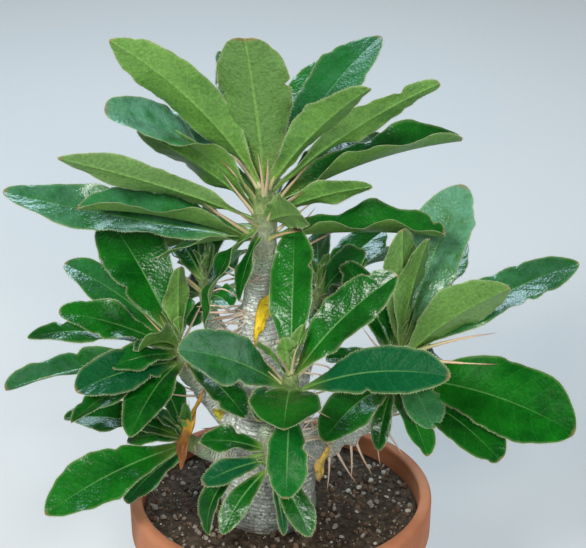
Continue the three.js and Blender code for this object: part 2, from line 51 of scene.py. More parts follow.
def placeCamera(s):
    lift = math.radians(s["elevation"])
    camera = bpy.data.cameras.new("camera")
    camera.sensor_width = 36
    camera.lens = 36 * s["distance"] / s["frameWide"]
    camera.clip_start, camera.clip_end = 0.05, 20
    holder = bpy.data.objects.new("camera", camera)
    x, y, z = s["target"]
    back, up = s["distance"] * math.cos(lift), s["distance"] * math.sin(lift)
    holder.location = (x * mm, (y - back) * mm, (z + up) * mm)
    holder.rotation_euler = (math.radians(90) - lift, 0, 0)
    bpy.context.collection.objects.link(holder)
    bpy.context.scene.camera = holder


lamps = {
    "key": {"at": (-0.62, -1.15, 1.25), "wide": 0.34, "watts": 19, "colour": (1.0, 0.98, 0.94)},
    "flash": {"at": (0.12, -1.25, 0.92), "wide": 0.16, "watts": 7, "colour": (1.0, 1.0, 1.0)},
    "fill": {"at": (1.15, -0.80, 0.75), "wide": 0.90, "watts": 4.5, "colour": (0.95, 0.98, 1.0)},
    "sky": {"at": (-0.15, 1.00, 1.25), "wide": 0.60, "watts": 15, "colour": (0.62, 0.82, 1.0)},
}


def placeLamps(table, aim=(0.0, 0.0, 0.23)):
    for name, l in table.items():
        lamp = bpy.data.lights.new(name, "AREA")
        lamp.size, lamp.energy, lamp.color = l["wide"], l["watts"], l["colour"]
        holder = bpy.data.objects.new(name, lamp)
        holder.location = l["at"]
        away = np.array(l["at"]) - np.array(aim)
        holder.rotation_euler = (math.acos(away[2] / np.linalg.norm(away)), 0, math.atan2(away[0], -away[1]))
        bpy.context.collection.objects.link(holder)
    world = bpy.data.worlds.new("studio")
    world.use_nodes = True
    back = world.node_tree.nodes["Background"]
    back.inputs["Color"].default_value = (0.94, 0.94, 0.93, 1)
    back.inputs["Strength"].default_value = 0.17
    bpy.context.scene.world = world
    bpy.context.scene.view_settings.view_transform = "Standard"


placeCamera(studio)
placeLamps(lamps)
print("camera and lamps placed")


def unitRows(v):
    return v / np.maximum(np.linalg.norm(v, axis=-1, keepdims=True), 1e-9)


# Distances along a line of points, from 0 at its start.
def runAlong(line):
    return np.concatenate([[0], np.cumsum(np.linalg.norm(np.diff(line, axis=0), axis=1))])


# Rows of x, y, z read between the places where they are known.
def readBetween(places, known, rows):
    return np.stack([np.interp(places, known, rows[:, k]) for k in range(3)], axis=-1)


# The direction of a heading round Z and a lift above level, both in degrees.
def wayTo(heading, lift):
    h, l = math.radians(heading), math.radians(lift)
    return np.array([math.cos(h) * math.cos(l), math.sin(h) * math.cos(l), math.sin(l)])


# Numbers of a mesh's vertices or loops, each of them holding so many, as rows of the given width.
def readMesh(items, key, wide, kind=float, each=3):
    flat = np.empty(len(items) * each, kind)
    items.foreach_get(key, flat)
    return flat.reshape(-1, wide)


# Random values on a cubic lattice of the given cell, blended smoothly between its corners: -1 to 1.
def softNoise(points, cell, seed):
    lattice = np.random.default_rng(seed).uniform(-1, 1, (24, 24, 24))
    p = np.asarray(points) / cell
    whole = np.floor(p).astype(int)
    f = p - whole
    f = f * f * (3 - 2 * f)
    total = np.zeros(p.shape[:-1])
    for corner in range(8):
        step = np.array([corner & 1, (corner >> 1) & 1, corner >> 2])
        weight = np.prod(np.where(step == 1, f, 1 - f), axis=-1)
        i, j, k = np.moveaxis((whole + step) % 24, -1, 0)
        total += weight * lattice[i, j, k]
    return total


# Smooth cubic curve through stations (rows of x, y, z, radius) at the given places, 0 to last.
def smoothPath(stations, places):
    p = np.array(stations, float)
    p = np.vstack([2 * p[0] - p[1], p, 2 * p[-1] - p[-2]])
    i = np.clip(np.floor(places).astype(int), 0, len(p) - 4)
    f = (places - i)[:, None]
    a, b, c, d = p[i], p[i + 1], p[i + 2], p[i + 3]
    square, cube = 2 * a - 5 * b + 4 * c - d, 3 * b - a - 3 * c + d
    return 0.5 * (2 * b + (c - a) * f + square * f ** 2 + cube * f ** 3)


# A tube: rings of a circle, square to the path; relief(angle, row place, centre) scales each radius.
def tubeGrid(stations, sides, rings, relief=None):
    last = len(stations) - 1
    places = np.linspace(0, last, rings + 1)
    middle = smoothPath(stations, places)
    ahead = smoothPath(stations, np.minimum(places + 0.05, last))[:, :3]
    behind = smoothPath(stations, np.maximum(places - 0.05, 0))[:, :3]
    along = unitRows(ahead - behind)
    side = unitRows(np.cross([0.0, 1.0, 0.0], along))
    front = np.cross(along, side)
    angle = np.arange(sides) / sides * 2 * math.pi
    reach = np.repeat(middle[:, 3:4], sides, axis=1)
    if relief:
        reach = reach * relief(angle[None, :], (places / last)[:, None], middle[:, None, :3])
    ring = side[:, None, :] * np.cos(angle)[None, :, None] + front[:, None, :] * np.sin(angle)[None, :, None]
    return middle[:, None, :3] + ring * reach[:, :, None]


# Faces of a grid of rings, closed round and capped by a fan at each end; points gain the two poles.
def closeRings(grid, tipPole=None):
    rows, count = grid.shape[:2]
    tipPole = grid[-1].mean(axis=0) if tipPole is None else tipPole
    points = np.vstack([grid.reshape(-1, 3), grid[0].mean(axis=0), tipPole])
    i = np.arange(rows - 1)[:, None] * count
    j = np.arange(count)[None, :]
    k = (j + 1) % count
    quads = np.stack([i + j, i + k, i + count + k, i + count + j], axis=-1).reshape(-1, 4)
    j, k, n = j[0], k[0], rows * count
    end = (rows - 1) * count
    rootFan = np.stack([np.full(count, n), k, j], axis=-1)
    tipFan = np.stack([np.full(count, n + 1), end + j, end + k], axis=-1)
    return {"points": points, "quads": quads, "fans": np.vstack([rootFan, tipFan])}


# Parts of one piece gathered into one mesh. A part has points, quads, fans and values per point.
def buildPiece(name, parts, materials, node, stands=True, smooth=True):
    points = np.vstack([p["points"] for p in parts]) * mm
    offsets = np.cumsum([0] + [len(p["points"]) for p in parts[:-1]])
    empty4, empty3 = np.zeros((0, 4), int), np.zeros((0, 3), int)
    quads = np.vstack([p.get("quads", empty4) + o for p, o in zip(parts, offsets)])
    fans = np.vstack([p.get("fans", empty3) + o for p, o in zip(parts, offsets)])
    corners = np.concatenate([quads.ravel(), fans.ravel()]).astype(np.int32)
    starts = np.concatenate([np.arange(len(quads)) * 4, len(quads) * 4 + np.arange(len(fans)) * 3])
    mesh = bpy.data.meshes.new(name)
    mesh.vertices.add(len(points))
    mesh.vertices.foreach_set("co", points.ravel())
    mesh.loops.add(len(corners))
    mesh.loops.foreach_set("vertex_index", corners)
    mesh.polygons.add(len(starts))
    mesh.polygons.foreach_set("loop_start", starts.astype(np.int32))
    mesh.polygons.foreach_set("use_smooth", np.full(len(starts), smooth))
    if "quadSlots" in parts[0]:
        slots = np.concatenate([p["quadSlots"] for p in parts] + [p["fanSlots"] for p in parts])
        mesh.polygons.foreach_set("material_index", slots.astype(np.int32))
    mesh.update(calc_edges=True)
    mesh.validate()
    for key in parts[0].get("values", {}):
        values = np.concatenate([p["values"][key] for p in parts]).astype(np.float32)
        mesh.attributes.new(key, "FLOAT", "POINT").data.foreach_set("value", values)
    for m in materials:
        mesh.materials.append(m)
    piece = bpy.data.objects.new(name, mesh)
    bpy.context.collection.objects.link(piece)
    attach(piece, "root")
    if stands:
        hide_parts(node)
    print(name, "faces", len(starts))
    return piece


# A short hand for node trees: f.node(type, inputs, output, settings...) returns one output.
class Finish:
    def __init__(self, name, roughness, specular=0.5):
        self.material = bpy.data.materials.new(name)
        self.material.use_nodes = True
        self.tree = self.material.node_tree
        self.shader = self.tree.nodes["Principled BSDF"]
        self.join(self.shader, {"Roughness": roughness, "Specular IOR Level": specular})

    # a socket is linked, a number set, a colour set with its alpha, and None left out
    def join(self, made, inputs):
        for key, value in inputs.items():
            if isinstance(value, bpy.types.NodeSocket):
                self.tree.links.new(value, made.inputs[key])
            elif value is not None:
                made.inputs[key].default_value = (*value, 1) if isinstance(value, tuple) else value

    def node(self, kind, inputs, output=0, **settings):
        made = self.tree.nodes.new("ShaderNode" + kind)
        for key, value in settings.items():
            setattr(made, key, value)
        self.join(made, inputs)
        return made.outputs[output]

    def math(self, operation, a, b=0.0):
        return self.node("Math", {0: a, 1: b}, operation=operation)

    def times(self, a, b):
        return self.math("MULTIPLY", a, b)

    def plus(self, a, b):
        return self.math("ADD", a, b)

    def minus(self, a, b):
        return self.math("SUBTRACT", a, b)

    def flip(self, a):
        return self.minus(1.0, a)

    def value(self, name):
        return self.node("Attribute", {}, 2, attribute_name=name)

    def place(self):
        return self.node("TexCoord", {}, 3)

    def noise(self, scale, detail=3.0, rough=0.5, warp=0.0):
        inputs = {"Vector": self.place(), "Scale": scale, "Detail": detail, "Roughness": rough}
        return self.node("TexNoise", {**inputs, "Distortion": warp})

    # 0 below low, 1 above high, smooth between; fall is its reverse
    def step(self, value, low, high):
        inputs = {"Value": value, "From Min": low, "From Max": high}
        return self.node("MapRange", inputs, interpolation_type="SMOOTHSTEP")

    def fall(self, value, low, high):
        return self.flip(self.step(value, low, high))

    def blend(self, share, a, b, kind="MIX"):
        return self.node("Mix", {0: share, 6: a, 7: b}, 2, data_type="RGBA", blend_type=kind)

    # a second colour laid over the first, as strong as share times most
    def tint(self, colour, share, most, over):
        return self.blend(self.times(share, most), colour, over)

    def bump(self, height, strength, distance, under=None):
        inputs = {"Height": height, "Strength": strength, "Distance": distance, "Normal": under}
        return self.node("Bump", inputs)

    def wear(self, colour, roughness=None, normal=None, specular=None):
        keys = ("Base Color", "Roughness", "Normal", "Specular IOR Level")
        self.join(self.shader, dict(zip(keys, (colour, roughness, normal, specular))))
        return self.material


# Leaf faces read: place 0 to 1 along the blade, ribGap and edgeGap in millimetres, vein, the running
# number of the side vein, tone, a number of the leaf's own, young, 1 on the newest leaves, matt, 1 on
# the dullest, and the strength of a painted bluish sheen that stands for reflected light.
leafLook = {
    "petiole": (0.24, 0.40, 0.070), "young": (0.120, 0.275, 0.048), "margin": (0.33, 0.44, 0.20),
    "paintedSheen": (0.13, 0.34, 0.22), "tip": (0.30, 0.17, 0.085), "speck": (0.045, 0.075, 0.018),
    "upper": {
        "dark": (0.001, 0.050, 0.004), "light": (0.007, 0.150, 0.008), "lightFrom": (0.72, 1.60),
        "other": (0.004, 0.085, 0.026), "otherFrom": 0.74, "otherMost": 1.0,
        "vein": (0.035, 0.21, 0.035), "rib": (0.13, 0.33, 0.09), "ribWide": 0.80, "ribTaper": 0.5,
        "roughness": 0.3, "specular": 0.30, "gloss": 0.16, "specks": 0.25, "mottle": 0.22,
        "ripple": 0.45, "cells": 0.60,
    },
    "under": {
        "dark": (0.036, 0.130, 0.020), "light": (0.120, 0.275, 0.048), "lightFrom": (0.45, 1.30),
        "other": (0.100, 0.205, 0.058), "otherFrom": 0.55, "otherMost": 0.8,
        "vein": (0.155, 0.34, 0.070), "rib": (0.18, 0.38, 0.080), "ribWide": 1.5, "ribTaper": 0.9,
        "roughness": 0.5, "specular": 0.40, "gloss": 0.30, "specks": 0.45, "mottle": 0.34,
        "ripple": 0.55, "cells": 0.55,
    },
}


def leafFinish(name, upper):
    both, c = leafLook, leafLook["upper" if upper else "under"]
    f = Finish(name, c["roughness"], c["specular"])
    place, edgeGap, tone, young, matt = (f.value(k) for k in ("place", "edgeGap", "tone", "young", "matt"))
    broad, middle = f.noise(42.0, 4.0, 0.6), f.noise(190.0, 4.0, 0.6)
    cells = f.node("TexVoronoi", {"Vector": f.place(), "Scale": 760.0}, feature="SMOOTH_F1")
    shade = f.plus(f.plus(f.times(broad, 1.3), f.times(middle, 0.5)), f.times(tone, 0.5))
    colour = f.blend(f.step(shade, *c["lightFrom"]), c["dark"], c["light"])
    colour = f.tint(colour, f.step(tone, c["otherFrom"], 1.0), c["otherMost"], c["other"])
    colour = f.tint(colour, young, 0.55, both["young"])
    if upper:  # a painted bluish sheen on some leaves, standing for reflected light, stronger towards the tip and broken into patches
        patches = f.step(f.plus(f.noise(110.0, 5.0, 0.65), f.times(place, 0.25)), 0.36, 0.86)
        colour = f.tint(colour, f.value("paintedSheen"), patches, both["paintedSheen"])
    # side veins: thin lines where the running number is whole
    apart = f.math("ABSOLUTE", f.minus(f.math("FRACT", f.value("vein")), 0.5))
    share = f.plus(0.22, f.times(young, 0.35)) if upper else 0.28
    colour = f.tint(colour, f.step(apart, 0.455, 0.495), share, c["vein"])
    # the middle rib narrows towards the tip, and on the upper side it fades there as well
    ribWide = f.minus(c["ribWide"], f.times(place, c["ribTaper"]))
    ribHere = f.fall(f.math("DIVIDE", f.value("ribGap"), ribWide), 0.35, 1.0)
    strong = f.plus(0.50, f.times(f.math("FRACT", f.times(tone, 7.3)), 0.35))
    strong = f.times(strong, f.fall(place, 0.45, 1.1)) if upper else 0.6
    colour = f.tint(colour, ribHere, strong, c["rib"])
    colour = f.tint(colour, f.fall(place, 0.02, 0.30), 0.75, both["petiole"])
    # a faint pale band along the margin, a strong narrow rim on it, a brown point, scattered specks
    colour = f.tint(colour, f.fall(edgeGap, 0.2, 1.8), 0.20, both["margin"])
    colour = f.tint(colour, f.fall(edgeGap, 0.06, 0.36), 0.7, both["margin"])
    point = f.step(f.plus(place, f.times(tone, 0.02)), 0.985, 1.012)
    colour = f.tint(colour, point, 0.6, both["tip"])
    colour = f.tint(colour, f.step(f.noise(560.0, 3.0, 0.65), 0.63, 0.72), c["specks"], both["speck"])
    colour = f.blend(c["mottle"], colour, f.blend(cells, (1, 1, 1), (0.0, 0.0, 0.0)), "OVERLAY")
    gloss = f.plus(f.plus(c["gloss"], f.times(broad, 0.20)), f.times(matt, 0.12))
    mirror = f.times(c["specular"], f.flip(f.times(matt, 0.8)))
    rise = f.bump(f.noise(420.0, 3.0, 0.6), c["ripple"], 0.0006)
    rise = f.bump(cells, c["cells"], 0.00035, rise)
    rise = f.bump(f.noise(1100.0, 2.0), 0.25, 0.00018, rise)
    if upper:
        coat = 0.12  # weight and roughness; matt leaves have less of it
        f.join(f.shader, {"Coat Weight": coat, "Coat Roughness": coat})
        f.join(f.shader, {"Coat Weight": f.times(f.flip(matt), coat)})
    return f.wear(colour, gloss, rise, mirror)


def hairFinish():
    f = Finish("leaf_hair", 0.55, 0.3)
    colour = f.blend(f.noise(200.0), (0.42, 0.48, 0.26), (0.62, 0.64, 0.42))
    return f.wear(colour)


# Stems read height, 0 to 1 from the wood up: grey with pale scars below, green above.
def stemFinish():
    f = Finish("green_stem", 0.5, 0.4)
    height, patch = f.value("height"), f.noise(160.0, 4.0)
    colour = f.blend(f.step(patch, 0.35, 0.7), (0.12, 0.21, 0.060), (0.26, 0.35, 0.13))
    grey = f.fall(f.plus(height, f.times(patch, 0.5)), 0.35, 1.0)
    colour = f.tint(colour, grey, 0.8, (0.40, 0.42, 0.33))
    scars = f.step(f.noise(300.0, 3.0, 0.6, 1.5), 0.40, 0.52)
    colour = f.tint(colour, f.flip(scars), 0.35, (0.13, 0.15, 0.07))
    rise = f.bump(scars, 0.6, 0.0006)
    return f.wear(colour, None, f.bump(f.noise(700.0, 4.0), 0.5, 0.0006, rise))


# Spines read: place 0 to 1 from the wood to the point, young 1 where the base is green.
def spineFinish():
    f = Finish("spine_horn", 0.38, 0.5)
    place, young = f.value("place"), f.value("young")
    horn = f.blend(f.step(place, 0.10, 0.85), (0.72, 0.60, 0.48), (0.56, 0.33, 0.23))
    horn = f.blend(f.step(place, 0.72, 1.0), horn, (0.13, 0.045, 0.03))
    green = f.blend(f.step(place, 0.0, 0.65), (0.42, 0.50, 0.16), (0.58, 0.38, 0.22))
    green = f.blend(f.step(place, 0.7, 1.0), green, (0.20, 0.06, 0.035))
    colour = f.blend(young, horn, green)
    colour = f.tint(colour, f.value("tone"), 0.5, (0.74, 0.60, 0.48))
    return f.wear(colour, None, f.bump(f.noise(900.0), 0.15, 0.0003))


# Bark reads: along, millimetres up the limb, green, 1 where the wood is still young, soil, 1 at the
# foot, and seat, 1 under a spine.
def barkFinish():
    f = Finish("silver_bark", 0.45, 0.5)
    along = f.value("along")
    warp = f.times(f.noise(110.0, 4.0, 0.6), 5.0)
    rings = f.math("SINE", f.times(f.plus(along, warp), 4.3))
    wrinkle = f.step(rings, -0.6, 0.9)
    plates = f.node("TexVoronoi", {"Vector": f.place(), "Scale": 420.0}, feature="DISTANCE_TO_EDGE")
    cracks = f.step(plates, 0.0, 0.12)
    patch = f.noise(70.0, 5.0, 0.6)
    colour = f.blend(f.step(patch, 0.35, 0.68), (0.62, 0.71, 0.64), (0.93, 1.0, 0.94))
    colour = f.tint(colour, f.flip(wrinkle), 0.45, (0.20, 0.23, 0.19))
    colour = f.tint(colour, f.flip(cracks), 0.30, (0.17, 0.17, 0.12))
    colour = f.blend(f.step(f.noise(240.0, 3.0), 0.60, 0.74), colour, (0.92, 0.96, 0.90))
    colour = f.tint(colour, f.value("green"), 0.7, (0.25, 0.37, 0.15))
    colour = f.tint(colour, f.value("seat"), 0.6, (0.60, 0.42, 0.33))
    colour = f.tint(colour, f.value("soil"), 0.7, (0.13, 0.10, 0.07))
    rise = f.bump(wrinkle, 1.0, 0.0010)
    rise = f.bump(cracks, 0.45, 0.0004, rise)
    rise = f.bump(f.noise(1100.0, 3.0), 0.35, 0.0003, rise)
    gloss = f.plus(0.24, f.times(patch, 0.25))
    return f.wear(colour, gloss, rise)


def witheredFinish(name, pale, warm, dry, dryFrom, dryFoot):
    f = Finish(name, 0.55, 0.35)
    place = f.flip(f.value("place")) if dryFoot else f.value("place")
    blot = f.noise(130.0, 5.0, 0.6)
    colour = f.blend(f.step(blot, 0.35, 0.7), pale, warm)
    reach = f.plus(place, f.times(blot, 0.4))
    colour = f.blend(f.step(reach, dryFrom, dryFrom + 0.35), colour, dry)
    colour = f.tint(colour, f.step(f.noise(310.0, 4.0, 0.6), 0.56, 0.68), 0.7, dry)
    colour = f.tint(colour, f.fall(f.value("edgeGap"), 0.1, 0.9), 0.6, dry)
    return f.wear(colour, None, f.bump(f.noise(600.0, 4.0), 0.7, 0.0009))


def terracottaFinish():
    f = Finish("terracotta", 0.78, 0.3)
    cloud = f.noise(22.0, 5.0, 0.6)
    grain = f.noise(1400.0, 2.0)
    colour = f.blend(f.step(cloud, 0.32, 0.7), (0.42, 0.150, 0.072), (0.56, 0.235, 0.125))
    height = f.node("SeparateXYZ", {0: f.place()}, 2)
    waves = {"Vector": f.place(), "Scale": 60.0, "Distortion": 1.2, "Detail": 2.0}
    turns = f.node("TexWave", waves, 1, bands_direction="Z")  # the marks of turning
    bloom = f.times(f.step(f.noise(38.0, 6.0, 0.7), 0.56, 0.74), f.step(height, 0.118, 0.03))
    colour = f.tint(colour, bloom, 0.55, (0.70, 0.58, 0.48))
    colour = f.tint(colour, f.step(grain, 0.62, 0.75), 0.35, (0.25, 0.09, 0.05))
    rise = f.bump(grain, 0.25, 0.0003)
    rise = f.bump(turns, 0.12, 0.0005, rise)
    return f.wear(colour, None, rise)


def soilFinish():
    f = Finish("potting_mix", 0.9, 0.2)
    damp = f.step(f.noise(260.0, 5.0, 0.7), 0.35, 0.7)
    colour = f.blend(damp, (0.030, 0.021, 0.014), (0.105, 0.075, 0.050))
    return f.wear(colour, None, f.bump(f.noise(500.0, 5.0, 0.7), 0.8, 0.0012))


def gritFinish():
    f = Finish("grit", 0.85, 0.25)
    tone = f.value("tone")
    colour = f.blend(f.step(tone, 0.0, 0.45), (0.045, 0.030, 0.020), (0.16, 0.10, 0.062))
    colour = f.blend(f.step(tone, 0.55, 0.75), colour, (0.30, 0.27, 0.23))
    colour = f.blend(f.step(tone, 0.90, 0.94), colour, (0.50, 0.47, 0.41))
    return f.wear(colour, None, f.bump(f.noise(900.0, 4.0), 0.7, 0.0007))


def floorFinish():
    f = Finish("pale_floor", 0.65, 0.3)
    return f.wear(f.blend(f.noise(3.0, 2.0), (0.72, 0.705, 0.675), (0.76, 0.745, 0.715)))


upperSkin, underSkin = leafFinish("leaf_upper", True), leafFinish("leaf_under", False)
hairSkin, stemSkin, hornSkin, barkSkin = hairFinish(), stemFinish(), spineFinish(), barkFinish()
print("finishes made")

blade = {
    "grid": (64, 11), "budGrid": (24, 6), "deadGrid": (60, 12),  # rows, columns on each side of the rib
    "rowEase": 1.6, "columnEase": 1.25,  # rows crowd towards the tip, columns towards the rib
    "thick": 0.34,  # half of the blade's thickness
    "petioleShare": 0.1, "fullness": 0.62, "widestPower": 1.6, "rollWithin": 0.35,
    "groove": 0.35, "keel": 0.85, "quilt": 0.10, "quiltUnder": 0.7, "veinStep": 8.5,
    "hairStep": 0.80, "hairLength": 0.95, "hairThick": 0.13, "hairSunk": 0.12,
}

# The columns of a leaf's row: where it leaves the stem, 0 to 1, its tip, its width, the degrees that it
# bends and rolls, and the height and start of its margin's waves. A row may stop early, and a
# dictionary at its end names what else differs from leafUsual.
leafColumns = ("at", "tip", "wide", "bend", "roll", "wave", "phase")
leafUsual = {
    "roll": 0, "wave": 2, "phase": 0, "fold": 12, "twist": 0, "waves": 2, "young": 0, "matt": 0, "paintedSheen": 0,
}


def readLeaf(row):
    numbers = [value for value in row if not isinstance(value, dict)]
    more = row[-1] if isinstance(row[-1], dict) else {}
    return {**leafUsual, **dict(zip(leafColumns, numbers)), **more}


# The blade's middle line turns down evenly by bend degrees from root to tip; its two sides rise by
# the fold, wave towards the margin, and the section is a thin lens with a groove above the rib and a
# keel below it. Returns upper and under grids of [row, column] with the numbers that the finish
# reads, and what the hairs need. rowAt is 0 to 1 from root to tip, colAt -1 to 1 across the blade.
def bladeSurface(root, leafRow, rng, rows, columns, crumple=0.0):
    leaf = readLeaf(leafRow)
    root, tip = np.array(root, float), np.array(leaf["tip"], float)
    bend, roll, fold, twist = (math.radians(leaf[key]) for key in ("bend", "roll", "fold", "twist"))
    wide = leaf["wide"]
    chord = tip - root
    length = np.linalg.norm(chord) * (bend / 2) / math.sin(bend / 2)
    heading = math.atan2(chord[1], chord[0])
    lift = math.atan2(chord[2], math.hypot(chord[0], chord[1])) + bend / 2

    s = 1 - (1 - np.linspace(0, 1, rows + 1)) ** blade["rowEase"]
    t = np.linspace(-1, 1, 2 * columns + 1)
    w = np.sign(t) * np.abs(t) ** blade["columnEase"]
    w = np.concatenate([[-1.0, -0.985], w[1:-1] * 0.955 / abs(w[1]), [0.985, 1.0]])
    rowAt, colAt = s[:, None], w[None, :]
    aside = np.abs(colAt)

    low = lift - bend * s
    level = length * (math.sin(lift) - np.sin(low)) / bend
    rise = length * (np.cos(low) - math.cos(lift)) / bend
    ch, sh = math.cos(heading), math.sin(heading)
    middle = root + np.stack([ch * level, sh * level, rise], axis=-1)
    side = np.array([sh, -ch, 0.0])
    face = np.stack([-ch * np.sin(low), -sh * np.sin(low), np.cos(low)], axis=-1)
    r = (roll * np.minimum(1, s / blade["rollWithin"]) + twist * s)[:, None]
    across = side * np.cos(r) + face * np.sin(r)
    out = face * np.cos(r) - side * np.sin(r)

    def pushed(way, far):
        return way[:, None, :] * far[..., None]

    seed = int(rng.integers(1, 10000))
    edgeLine = np.stack([
        rowAt * length + 0 * colAt, np.sign(colAt) * 40 + 0 * rowAt, np.full((rows + 1, w.size), seed * 3.7),
    ], axis=-1)
    uneven = 0.07 * softNoise(edgeLine, 10.0, 11) + 0.045 * softNoise(edgeLine, 4.0, 12)
    ragged = 1 + (1 + crumple) * uneven
    for hand in (-1, 1):  # a nick in some margins
        deep, nickAt = 0.3 * max(0, rng.uniform(-0.8, 1)), rng.uniform(0.4, 0.95)
        ragged = ragged - deep * np.exp(-((rowAt - nickAt) * length / 1.8) ** 2) * (np.sign(colAt) == hand)
    # some blades end round, some in a point
    sharp = blade["fullness"] + rng.uniform(-0.24, 0.10) * rowAt ** 6
    outline = np.abs(np.sin(math.pi * rowAt ** blade["widestPower"])) ** sharp
    reach = wide / 2 * np.maximum(outline * ragged, blade["petioleShare"] * (1 - rowAt)) + 0.02
    swing = np.sin(2 * math.pi * leaf["waves"] * rowAt + leaf["phase"] + np.where(colAt > 0, 0, 2))
    softAside = np.sqrt(colAt ** 2 + 0.012) - 0.11
    crisp = 1.9 * aside ** 3 * softNoise(edgeLine, 9.0, 13) + 1.1 * aside ** 6 * softNoise(edgeLine, 4.5, 14)
    sway = leaf["wave"] * colAt ** 2 * swing + crisp * min(1, wide / 20)
    height = softAside * reach * math.sin(fold) + np.sin(math.pi * rowAt) * sway
    body = middle[:, None, :] + pushed(across, colAt * reach * math.cos(fold)) + pushed(out, height)
    if crumple:
        folds = softNoise(body, 5.0, 15) + 0.4 * softNoise(body, 2.4, 17)
        body = body + pushed(out, crumple * folds * np.minimum(1, rowAt * 6))

    ribGap = aside * reach
    count = max(5, round(length / blade["veinStep"]))
    vein = count * (rowAt - 0.12 * aside ** 1.3) + 0.25 * np.tanh(20 * colAt)
    vein = vein + 0.10 * softNoise(edgeLine, 14.0, 16) + 0.5
    fade = np.minimum(1, (1 - aside) * 6) * np.minimum(1, ribGap / 2) * np.minimum(1, reach / 5)
    pillow = np.cos(2 * math.pi * vein) * fade
    lens = blade["thick"] * (0.55 + 0.45 * (1 - rowAt)) * np.sqrt(np.maximum(0, 1 - aside ** 8))
    lens = lens + 0.5 * np.exp(-rowAt / 0.07) * (1 - colAt ** 2)
    slim = min(1.0, wide / 18) * (1 - 0.72 * rowAt)
    groove = blade["groove"] * slim * np.exp(-(ribGap / (0.75 - 0.3 * rowAt)) ** 2)
    keel = blade["keel"] * slim * np.exp(-(ribGap / (1.05 - 0.55 * rowAt)) ** 2) * (1 - colAt ** 2)
    upper = body + pushed(out, lens - groove + blade["quilt"] * pillow)
    under = body - pushed(out, lens + keel - blade["quilt"] * blade["quiltUnder"] * pillow)
    upper[:, [0, -1]] = under[:, [0, -1]] = body[:, [0, -1]]

    slope = 1 / np.hypot(1, 0.9)  # the margin runs aslant to the columns
    edgeGap = np.minimum((1 - aside) * reach * slope * 1.35, (1 - rowAt) * length + 0 * colAt)
    full = np.ones_like(reach)
    values = {"place": rowAt * full, "ribGap": ribGap, "edgeGap": edgeGap, "vein": vein}
    values["tone"] = full * rng.uniform()
    values.update({key: full * leaf[key] for key in ("young", "matt", "paintedSheen")})
    return (upper, under, values), {"out": out, "along": s}


# The two grids joined at their margins into one closed skin; faces of the under side take slot 1.
def bladePart(upper, under, values):
    rows, cols = upper.shape[:2]
    ring = np.concatenate([upper, under[:, -2:0:-1]], axis=1)
    both = {k: np.concatenate([v, v[:, -2:0:-1]], axis=1) for k, v in values.items()}
    part = closeRings(ring)
    slots = (np.arange(ring.shape[1]) >= cols - 1).astype(int)
    part["quadSlots"], part["fanSlots"] = np.tile(slots, rows - 1), np.tile(slots, 2)
    part["values"] = {k: np.concatenate([v.ravel(), [v[0].mean(), v[-1].mean()]]) for k, v in both.items()}
    return part


# Short three-sided hairs that stand out from both margins.
def hairParts(upper, shape, rng):
    s, thick, parts = shape["along"], blade["hairThick"], []
    sides = np.array([[0, 1, 3], [1, 2, 3], [2, 0, 3], [0, 2, 1]])
    for column, sign in ((0, -1.0), (-1, 1.0)):
        edge = upper[:, column]
        run = runAlong(edge)
        count = int(run[-1] * 0.9 / blade["hairStep"])
        places = run[-1] * (0.09 + 0.9 * (np.arange(count) + rng.uniform(-0.4, 0.4, count)) / max(count, 1))
        at = readBetween(places, run, edge)
        way = unitRows(readBetween(places + 0.5, run, edge) - at + 1e-6)
        normal = readBetween(np.interp(places, run, s), s, shape["out"])
        outward = unitRows(np.cross(way, normal)) * sign
        lean = outward + way * rng.uniform(-0.2, 0.6, (count, 1))
        lean = lean + normal * rng.uniform(-0.35, 0.35, (count, 1))
        tip = at + unitRows(lean) * blade["hairLength"] * rng.uniform(0.45, 1.1, (count, 1))
        foot = at - outward * blade["hairSunk"]
        a, b, c = foot + way * thick, foot - way * thick + normal * thick, foot - way * thick - normal * thick
        faces = np.arange(count)[:, None, None] * 4 + sides[:, :: -1 if sign > 0 else 1]
        points = np.stack([a, b, c, tip], axis=1).reshape(-1, 3)
        parts.append({"points": points, "fans": faces.reshape(-1, 3)})
    return parts


spineLook = {"sides": 7, "rings": 10, "radius": 0.85, "flare": 0.95, "curve": 0.03, "liftApart": 14}


# A long cone from the middle of the wood: thin by a power of the distance to the point, flared where
# it leaves the skin at the given start, and slightly bowed.
def spinePart(root, heading, lift, length, start, rng, young):
    look, way = spineLook, wayTo(heading, lift)
    side = unitRows(np.cross(way, [0.1, 0.2, 1.0]))
    front = np.cross(way, side)
    begin = min(start - 1.5, length * 0.6)
    t = np.linspace(0, 1, look["rings"] + 1) ** 1.3
    reach = begin + (length - begin) * t
    bow = rng.uniform(-1, 1, 2) * look["curve"] * length
    bowed = (side * bow[0] + front * bow[1]) * (np.sin(math.pi * t))[:, None]
    middle = np.array(root) + way * reach[:, None] + bowed
    radius = look["radius"] * (1 - t) ** 0.75 * min(1.4, length / 28)
    radius = radius + look["flare"] * np.exp(-t / 0.06) + 0.03
    angle = -np.arange(look["sides"]) / look["sides"] * 2 * math.pi
    ring = side * np.cos(angle)[:, None] + front * np.sin(angle)[:, None]
    grid = middle[:, None, :] + ring[None] * radius[:, None, None]
    part = closeRings(grid[:, ::-1], tipPole=np.array(root) + way * length)
    place = np.concatenate([np.repeat(t, look["sides"]), [0, 1]])
    full = np.ones_like(place)
    part["values"] = {"place": place, "young": full * young, "tone": full * rng.uniform()}
    return part


# Heading and lift of the two spines of a pair, spread degrees apart.
def pairAngles(heading, lift, spread=50):
    return [(heading + half * spread, lift + half * spineLook["liftApart"]) for half in (-0.5, 0.5)]


def spinePair(root, heading, lift, length, start, rng, young, *spread):
    return [spinePart(root, *way, length, start, rng, young) for way in pairAngles(heading, lift, *spread)]


trunkX, rootRadius, rootBottom = -6, 24, 97

